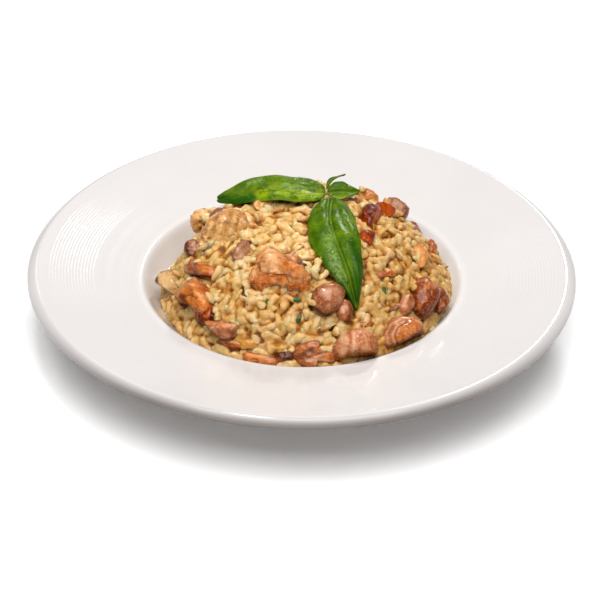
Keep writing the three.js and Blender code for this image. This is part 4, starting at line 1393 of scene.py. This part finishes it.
LEAF_TINTS = {
    # young parts, painted shade and painted sheen: the line they follow in the front view's frame, and its
    # half width
    "basil_leaf_left": (
        ("young", [(260, 193), (280, 190), (300, 194), (318, 196)], 7.0),
        ("bloom", [(248, 184), (262, 180)], 2.5),
        ("shade", [(220, 198), (236, 203), (252, 198)], 5.0),
        ("bloom", [(286, 184), (294, 188)], 4.0),
    ),
    "basil_leaf_front": (
        ("shade", [(352, 240), (359, 268), (358, 300)], 5.0),
        ("shade", [(340, 285), (350, 305)], 5.0),
        ("young", [(314, 252), (322, 268)], 2.5),
        ("bloom", [(328, 236), (332, 254), (340, 276)], 6.0),
    ),
    "basil_leaf_small": (("young", [(330, 197), (343, 199)], 3.0),),
}
LEAF_RIPPLE, LEAF_WAVE = 0.03, 0.6  # of the outline, as a share of its width, and of the edges' height
LEAF_BULGE, LEAF_PUCKER, LEAF_STREAK, LEAF_QUILT = 0.09, 0.035, 0.005, 0.01  # as shares of the half width
SIDE_VEINS, SIDE_VEIN_LEAN = 5.5, 0.42  # how many on each side, and how far their ends run ahead
SIDE_VEIN_PALE, MIDRIB_PALE = 0.08, 0.35
MIDRIB_WIDTH, MIDRIB_DEPTH, MIDRIB_THICKER = 0.8, 0.7, 0.5
LARGE_LEAF = 3.0  # half width above which a leaf gets a fine net
LEAF_NETS = {True: (72, 36), False: (30, 12)}  # rows and columns, for a large leaf and a small one


def spine_point(points, share):
    """A smooth curve through the points, with even speed between unevenly spaced ones."""
    last = len(points) - 1
    i = min(int(share * last), last - 1)
    w = share * last - i
    p1, p2 = points[i], points[i + 1]
    p0 = points[i - 1] if i else 2 * points[0] - points[1]
    p3 = points[i + 2] if i + 2 <= last else 2 * points[last] - points[last - 1]
    d0, d1, d2 = (np.linalg.norm(b - a) ** 0.5 for a, b in ((p0, p1), (p1, p2), (p2, p3)))
    t1 = ((p1 - p0) / d0 - (p2 - p0) / (d0 + d1) + (p2 - p1) / d1) * d1
    t2 = ((p2 - p1) / d1 - (p3 - p1) / (d1 + d2) + (p3 - p2) / d2) * d1
    return p1 + w * t1 + w**2 * (-3 * p1 + 3 * p2 - 2 * t1 - t2) + w**3 * (2 * p1 - 2 * p2 + t1 + t2)


def unit_vector(v):
    return v / np.linalg.norm(v)


def leaf_axes(spine, across, share):
    """Upwards and sideways at a place along a leaf's spine."""
    ahead = spine_point(spine, min(1, share + 1e-4)) - spine_point(spine, max(0, share - 1e-4))
    tangent = unit_vector(ahead)
    up = unit_vector(np.cross(tangent, across))
    up = -up if up[2] < 0 else up
    return up, unit_vector(np.cross(tangent, up))


def leaf_ring(spine, row, share, v):
    """A leaf's section at a place along its spine: points along the top and back underneath, and veins."""
    _, side, half_width, fold, (blunt_stalk, blunt_tip) = row
    up, sideways = leaf_axes(spine, unit_vector(np.array(side, dtype=float)), share)
    swell = math.sin(math.pi * (0.002 + 0.99 * share) ** LEAF_BROAD_END)
    width = half_width * max(0.03, swell ** (blunt_stalk + (blunt_tip - blunt_stalk) * share))
    ripple = 1 + LEAF_RIPPLE * np.sin(23 * share + 4 * v) * np.abs(v)
    rise = (fold * half_width + LEAF_WAVE * np.sin(9 * share + 2 * v)) * v**2
    # The side veins leave the midrib at a low angle and run almost along the leaf.
    phase = SIDE_VEINS * (share - SIDE_VEIN_LEAN * np.abs(v) ** 0.8)
    phase = phase + 0.4 * (v > 0) + 0.12 * np.sin(11 * share + 3 * v)
    off_vein = 1 - np.abs(np.cos(np.pi * phase)) ** 6
    midrib = np.exp(-((v * width / MIDRIB_WIDTH) ** 2))
    streak = np.sin(31 * v + 4 * np.sin(5 * share) + 2 * share) * (1 - v**4)
    pucker = np.sin(17 * share + 5 * v + 1.3) * np.sin(7.5 * v - 3 * share)
    quilt = LEAF_QUILT * off_vein + LEAF_PUCKER * pucker + LEAF_STREAK * streak + LEAF_BULGE
    rise = rise + half_width * quilt * (1 - v**6) * (1 - midrib)
    rise = rise - MIDRIB_DEPTH * midrib * min(1, width / 4)
    base = spine_point(spine, share) + (v * width * ripple)[:, None] * sideways
    thick = LEAF_THICKNESS / 2 * (1 - 0.6 * np.abs(v) ** 4)
    top = base + (rise + thick)[:, None] * up
    bottom = base + (rise - thick - MIDRIB_THICKER * midrib * (1 - share))[:, None] * up
    side_vein = np.exp(-((off_vein / 0.14) ** 2)) * SIDE_VEIN_PALE * (1 - np.abs(v) ** 3)
    vein = np.maximum(side_vein, MIDRIB_PALE * np.exp(-((v * width / 0.5) ** 2)))
    return np.vstack((top, bottom[::-1])), np.concatenate((vein, vein[::-1]))


def make_leaf(name, row, material):
    """A wavy leaf; its points say where its veins and tints lie."""
    spine = [np.array(p, dtype=float) for p in row[0]]
    steps, columns = LEAF_NETS[row[2] > LARGE_LEAF]
    v = np.linspace(-1, 1, columns + 1)
    rings, veins = zip(*(leaf_ring(spine, row, i / steps, v) for i in range(steps + 1)))
    points = np.vstack(rings)
    around = 2 * (columns + 1)
    faces = grid_faces(steps + 1, around, wrap=True)
    faces += [tuple(range(around))[::-1], tuple(range(steps * around, (steps + 1) * around))]
    leaf = make_object(f"{name}_wavy", points, faces, material)
    fix_outward(leaf)
    set_values(leaf.data, "vein", np.concatenate(veins))
    x, y = seen_from_front(points)
    tints = {"young": np.zeros(len(points)), "shade": np.zeros(len(points)), "bloom": np.zeros(len(points))}
    for tint, line, half_width in LEAF_TINTS.get(name, ()):
        strength = np.exp(-((distance_to_line(x, y, line) / half_width) ** 2))
        tints[tint] = np.maximum(tints[tint], strength)
    for tint, values in tints.items():
        set_values(leaf.data, tint, values)
    return keep(leaf, "basil", name)


# ---------------------------------------------------------------- rice and what lies on it
MASS_VOXEL = 0.92
MASS_BEDS = (
    # how far below the tops, spacing in metres, tilt, seed
    (4.0, 0.0040, 0.35, 11),
    (2.6, 0.0044, 0.35, 12),
    (1.5, 0.0050, 0.4, 13),
)
MASS_SIZES = {"Smallest": 0.7, "Largest": 1.12}
CLUMP_SIZE, CLUMP_RELIEF, CLUMP_TOP = 9.0, 5.0, 0.3
DEEPEST = 5.0  # about how far below the tops rice is darkest
LOW_TONES = ((200, 163, 98), (189, 136, 52), (166, 99, 10), (102, 48, 0))
TOP_TONES = ((203, 172, 116), (192, 147, 72), (170, 113, 20), (124, 64, 0))
GRAINS_SUNK = 1.6
CRUMB_ROOM = 0.12
INSIDE_PIECE, NEAR_LEAF, SEARCH = 1.6, 2.6, 12.0
CLING_LOW, CLING_HIGH, CLING_RADIUS = 1.0, 5.5, 69.0  # above the dome, and from the middle of the heap
CLING_LEVEL = 0.25  # least upward share of the normal where a grain can cling
CLING_LIFT, CLING_CLEAR = 0.5, 6.0  # above the piece, and away from a leaf
CLING_WIDTH, CLING_SPACING = 12.0, 9.0  # narrower pieces carry none, and others one about every so often
HERBS = ((-2, -56), (-1, -63), (69, -15), (-18, -55), (42, -43), (-34, 30), (18, 44), (-10, 40))
HERB_ROWS, HERB_COLUMNS, HERB_THICKNESS = 9, 13, 0.32
HERB_LENGTH, HERB_WIDTH = 4.2, 2.7
SAUCE_SIDES = 360
SAUCE_CLEAR = 3.2  # from the well's edge
SAUCE_SECTION = (
    # how far out from under the heap to the film's edge, as a share, and height above the wall
    (0.0, 0.9), (0.35, 0.6), (0.6, 0.42), (0.78, 0.3), (0.9, 0.18), (0.97, 0.06), (1.0, -0.08),
    (0.6, -0.3), (0.0, -0.3),
)
DROPLETS = (34, 22)  # on the front leaf and on the left one
DROPLET_SIZES = (0.28, 0.7)


def has_no_room(place, mushrooms, leaves):
    """Whether a place is deep inside a mushroom piece or close beneath a leaf."""
    for tree in mushrooms:
        near, normal, _, distance = tree.find_nearest(place, SEARCH)
        if near is not None and distance > INSIDE_PIECE and (place - near).dot(normal) < 0:
            return True
    for tree in leaves:
        near, _, _, distance = tree.find_nearest(place, SEARCH)
        if near is not None and distance < NEAR_LEAF:
            return True
    return False


def room_for_rice(points, mushrooms, leaves):
    """1 where a grain can lie, and 0 where it has no room."""
    return np.array([0.0 if has_no_room(Vector(p), mushrooms, leaves) else 1.0 for p in points])


def clump_share(points):
    """0 in the crevices between clumps of rice, and up to about 0.7 within a clump."""
    return np.abs(noise_at(points, CLUMP_SIZE, 3.0))


def crevices(clumps, width):
    """1 in the middle of a crevice between clumps, and 0 away from it."""
    return np.exp(-((clumps / width) ** 2))


def depth_below_tops(points):
    """0 at the tops of the grains and 1 in the hollows between them."""
    x, y, z = np.asarray(points).T
    return np.clip((dome_z(x, y) + lump_z(x, y) - z + 0.6) / DEEPEST, 0, 1)


def joined(name, pieces, material):
    """One mesh from several, which are used up."""
    points, faces, start = [], [], 0
    for piece in pieces:
        points.append(points_of(piece.data))
        faces += shifted(faces_of(piece.data), start)
        start += len(points[-1])
        discard(piece)
    return make_object(name, np.vstack(points), faces, material)


def spread_values(mesh, values, rounds):
    """Evens values out over a mesh: each round gives a point half the mean of its neighbours."""
    ends = np.empty(2 * len(mesh.edges), dtype=np.int64)
    mesh.edges.foreach_get("vertices", ends)
    first, second = ends.reshape(-1, 2).T
    count = len(mesh.vertices)
    neighbours = np.maximum(1, np.bincount(ends, minlength=count))
    for _ in range(rounds):
        total = np.bincount(first, values[second], count) + np.bincount(second, values[first], count)
        values = 0.5 * values + 0.5 * total / neighbours
    return values


def fused_beds(material, tree, settings, mushrooms, leaves):
    """A core and three beds of grains, fused together."""
    pieces = [make_object("core", *closed_core(CORE_SUNK))]
    fix_outward(pieces[0])
    for sunk, spacing, tilt, seed in MASS_BEDS:
        surface = make_object("bed_surface", *heap_surface(sunk))
        near_top = sunk < 3.5
        room = room_for_rice(points_of(surface.data), mushrooms, leaves) if near_top else 1
        set_values(surface.data, "room", room)
        inputs = {"Spacing": spacing, "Lift_spread": 0.0011, "Tilt": tilt, "Seed": seed} | settings
        pieces.append(scatter("bed_grains", surface, tree, **inputs))
        discard(surface)
    mass = joined("risotto_creamy_mass", pieces, material)
    remesh = mass.modifiers.new("fuse", "REMESH")
    remesh.mode, remesh.voxel_size, remesh.use_smooth_shade = "VOXEL", MASS_VOXEL * MM, True
    bake_modifiers(mass)
    if not mass.data.materials:
        mass.data.materials.append(material)
    mass.data.shade_smooth()
    return mass


def make_creamy_mass(material, tree, settings, mushrooms, leaves):
    """The heap's body, crumbled by noise into clumps."""
    piece = fused_beds(material, tree, settings, mushrooms, leaves)
    mesh = piece.data
    points = points_of(mesh)
    x, y, z = points.T
    upper = smooth_step(0, 4, z - wall_z(np.hypot(x, y)))
    clumps = clump_share(points)
    rise = CLUMP_RELIEF * np.minimum(clumps, CLUMP_TOP) - 0.6
    rise += 0.6 * noise_at(points, 2.3, 4.0)
    rise += 0.4 * noise_at(points, 1.3, 5.0)
    move_points(mesh, points + normals_of(mesh) * (rise * upper)[:, None])
    height = points_of(mesh)[:, 2] - dome_z(x, y) - lump_z(x, y)
    hollowed = spread_values(mesh, height, 14) - height
    # painted shade: the depth that darkens the rice grows in hollows, below the tops and in crevices between
    # clumps
    depth = 0.22 + 0.45 * hollowed + 0.3 * depth_below_tops(points) + 0.45 * crevices(clumps, 0.08)
    set_values(mesh, "depth", np.clip(depth, 0, 1))
    set_values(mesh, "tint", 0.5 + 0.5 * noise_at(points, 3.4, 2.0))
    keep(piece, "rice", "risotto")


def make_loose_grains(surface, tree, settings):
    """Grains that lie on the mass."""
    inputs = {"Spacing": 0.0050, "Lift": 0.0, "Lift_spread": 0.0012, "Tilt": 0.4, "Seed": 9} | settings
    grains = scatter("risotto_grains", surface, tree, **inputs)
    points = points_of(grains.data)
    lumpy = 0.55 * noise_at(points, 2.8, 6.0) + 0.2 * noise_at(points, 1.5, 7.0)
    move_points(grains.data, points + normals_of(grains.data) * lumpy[:, None])
    # painted shade: the depth is greater below the tops and in crevices between clumps
    depth = depth_below_tops(points) + 0.35 * crevices(clump_share(points), 0.09)
    set_values(grains.data, "depth", np.clip(depth, 0, 1))
    keep(grains, "rice", "risotto")


def make_crumbs(surface, tree, settings):
    inputs = {"Spacing": 0.0075, "Lift": 0.0018, "Lift_spread": 0.0006, "Tilt": 1.0, "Seed": 21} | settings
    keep(scatter("risotto_crumbs", surface, tree, **inputs), "rice", "risotto")


def make_clinging_grains(patterns, material, pieces, leaves):
    """Single grains that cling to the flanks of the larger mushroom pieces."""
    rng = np.random.default_rng(17)
    kinds = [(points_of(p.data), faces_of(p.data)) for p in patterns.objects]
    points, faces, tints, start = [], [], [], 0
    for piece in pieces:
        own, normals = points_of(piece.data), normals_of(piece.data)
        x, y, z = own.T
        above = z - dome_z(x, y)
        flank = (above > CLING_LOW) & (above < CLING_HIGH) & (normals[:, 2] > CLING_LEVEL)
        spots = np.flatnonzero(flank & (np.hypot(x, y) < CLING_RADIUS))
        if np.ptp(x) < CLING_WIDTH:
            continue
        count = min(len(spots), int(np.ptp(x) / CLING_SPACING) + 1)
        for index in rng.choice(spots, count, replace=False):
            normal = Vector(normals[index])
            place = Vector(own[index]) + normal * CLING_LIFT
            if any(leaf.find_nearest(place, CLING_CLEAR)[0] is not None for leaf in leaves):
                continue
            turn = turn_towards(normal) @ Matrix.Rotation(rng.uniform(0, TAU), 3, "Z")
            grain, grain_faces = kinds[rng.integers(len(kinds))]
            points.append(rng.uniform(0.75, 1.0) * grain @ np.array(turn).T + np.array(place))
            faces += shifted(grain_faces, start)
            tints += [rng.uniform()] * len(grain)
            start += len(grain)
    grains = make_object("risotto_clinging_grains", np.vstack(points), faces, material)
    set_values(grains.data, "tint", tints)
    set_values(grains.data, "depth", np.full(start, 0.15))
    keep(grains, "rice", "risotto")


def make_rice(film, pieces, leaves):
    """The heap: its body, loose grains, grains on the mushroom pieces, and crumbs."""
    mushrooms = [bvh_of(piece) for piece in pieces]
    grains, crumbs = grain_patterns(), crumb_patterns()
    tree = scatter_tree("rice scatter")
    cream = rice_material("creamy rice", film, LOW_TONES, 130.0)
    grain = rice_material("rice grain", film, TOP_TONES, 210.0)
    settings = {"Patterns": grains, "Room": "room", "Material": cream} | MASS_SIZES
    make_creamy_mass(cream, tree, settings, mushrooms, leaves)

    surface = make_object("upper_surface", *heap_surface(GRAINS_SUNK))
    room = room_for_rice(points_of(surface.data), mushrooms, leaves)
    clumped = smooth_step(0.02, 0.1, clump_share(points_of(surface.data)))
    set_values(surface.data, "room", room * clumped)
    make_loose_grains(surface, tree, settings | {"Material": grain})
    make_clinging_grains(grains, grain, pieces, leaves)
    set_values(surface.data, "room", CRUMB_ROOM * room)
    make_crumbs(surface, tree, settings | {"Patterns": crumbs, "Material": crumb_material(film)})
    for pattern in (surface, *grains.objects, *crumbs.objects):
        discard(pattern)
    for collection in (grains, crumbs):
        bpy.data.collections.remove(collection)


def make_herbs(material):
    """Snippets of herb, bent over the grains."""
    points, faces = [], []
    count = HERB_ROWS * HERB_COLUMNS
    top = grid_faces(HERB_ROWS, HERB_COLUMNS)
    rim = list(range(HERB_COLUMNS)) + [HERB_COLUMNS * (i + 1) - 1 for i in range(1, HERB_ROWS)]
    rim += [HERB_COLUMNS * (HERB_ROWS - 1) + j for j in reversed(range(HERB_COLUMNS - 1))]
    rim += [HERB_COLUMNS * i for i in reversed(range(1, HERB_ROWS - 1))]
    u, v = np.meshgrid(np.linspace(-1, 1, HERB_COLUMNS), np.linspace(-1, 1, HERB_ROWS))
    for number, at in enumerate(HERBS):
        matrix = frame_on_heap(at, 1.3 * number, 0.3, float(lump_z(*at)) + 0.6)
        outline = 1 - 0.25 * np.abs(np.sin(3 * u + number)) * np.abs(v)
        x, y = HERB_LENGTH / 2 * u, HERB_WIDTH / 2 * v * outline * (1 - 0.35 * u**2)
        z = 0.35 * np.sin(2.6 * u + number) - 0.5 * v**2 + 0.12 * np.cos(9 * u)
        start = len(points)
        for face in (HERB_THICKNESS / 2, -HERB_THICKNESS / 2):
            points += list(moved(np.column_stack((x.ravel(), y.ravel(), z.ravel() + face)), matrix))
        faces += shifted(top, start) + shifted(top, start + count, turned=True)
        for a, b in zip(rim, rim[1:] + rim[:1]):
            faces.append((start + a, start + count + a, start + count + b, start + b))
    herbs = make_object("risotto_herb_snippets", points, faces, material)
    fix_outward(herbs)
    keep(herbs, "rice", "risotto")


def noise_round(angles, size, seed):
    """Smooth noise round a circle; a larger circle gives finer noise."""
    return np.array([noise.noise(Vector((size * math.cos(a), size * math.sin(a), seed))) for a in angles])


def make_sauce(material):
    """A thin film of golden sauce on the wall of the well, widest where the heap is drawn in."""
    angles = ring_angles(SAUCE_SIDES)
    edge = heap_radius(angles)
    wobble, fine = noise_round(angles, 2.2, 0.4), noise_round(angles, 9, 1.7)
    reach = edge + 0.2 + 1.2 * np.clip(wobble + 0.1, 0, 1) + 0.6 * fine + 5.6 * hollow(angles, 0.5)
    reach = np.minimum(reach, WELL_RADIUS - SAUCE_CLEAR)
    rings = []
    for share, tall in SAUCE_SECTION:
        r = (edge - 4) + (reach - edge + 4) * share
        slope = wall_slope(r)
        tip = np.hypot(1, slope)
        out, z = r - tall * slope / tip, wall_z(r) + tall / tip
        rings.append(np.column_stack((out * np.cos(angles), out * np.sin(angles), z)))
    faces = grid_faces(len(rings), SAUCE_SIDES, wrap=True)
    last = (len(rings) - 1) * SAUCE_SIDES
    for k in range(SAUCE_SIDES):
        after = (k + 1) % SAUCE_SIDES
        faces.append((last + k, last + after, after, k))
    sauce = make_object("risotto_golden_sauce", np.vstack(rings), faces, material)
    fix_outward(sauce)
    keep(sauce, "rice", "risotto")


def make_droplets(material, leaves):
    """Beads of water on the leaves."""
    unit, unit_faces = ball(2)
    rng = np.random.default_rng(5)
    points, faces = [], []
    for leaf, count in zip(leaves, DROPLETS):
        own, normals = points_of(leaf.data), normals_of(leaf.data)
        upper = np.flatnonzero(normals[:, 2] > 0.35)
        for index in rng.choice(upper, count, replace=False):
            size = rng.uniform(*DROPLET_SIZES)
            normal = Vector(normals[index])
            bead = unit * np.array((size, size * rng.uniform(0.8, 1.0), 0.5 * size))
            bead = bead @ np.array(turn_towards(normal)).T + own[index]
            faces += shifted(unit_faces, len(points) * len(unit))
            points.append(bead + np.array(normal) * 0.12 * size)
    drops = make_object("basil_droplets", np.vstack(points), faces, material)
    keep(drops, "basil", "basil_leaf_front")


# ---------------------------------------------------------------- assembly
make_studio()
for light in LIGHTS:
    make_softbox(*light)
make_table()
make_camera()
make_plate()
basil = basil_material()
leaves = [make_leaf(name, row, basil) for name, row in LEAVES.items()]
leaf_trees = [bvh_of(leaf) for leaf in leaves]
film = wet_film_group()
finishes = {name: mushroom_material(name, film) for name in PALETTES} | {"onion": onion_material(film)}
pieces = [
    make_mushroom(name, row, seed, finishes, leaf_trees) for seed, (name, row) in enumerate(MUSHROOMS.items())
]
make_rice(film, pieces, leaf_trees)
make_herbs(herb_material())
make_sauce(sauce_material())
make_droplets(droplet_material(), leaves)
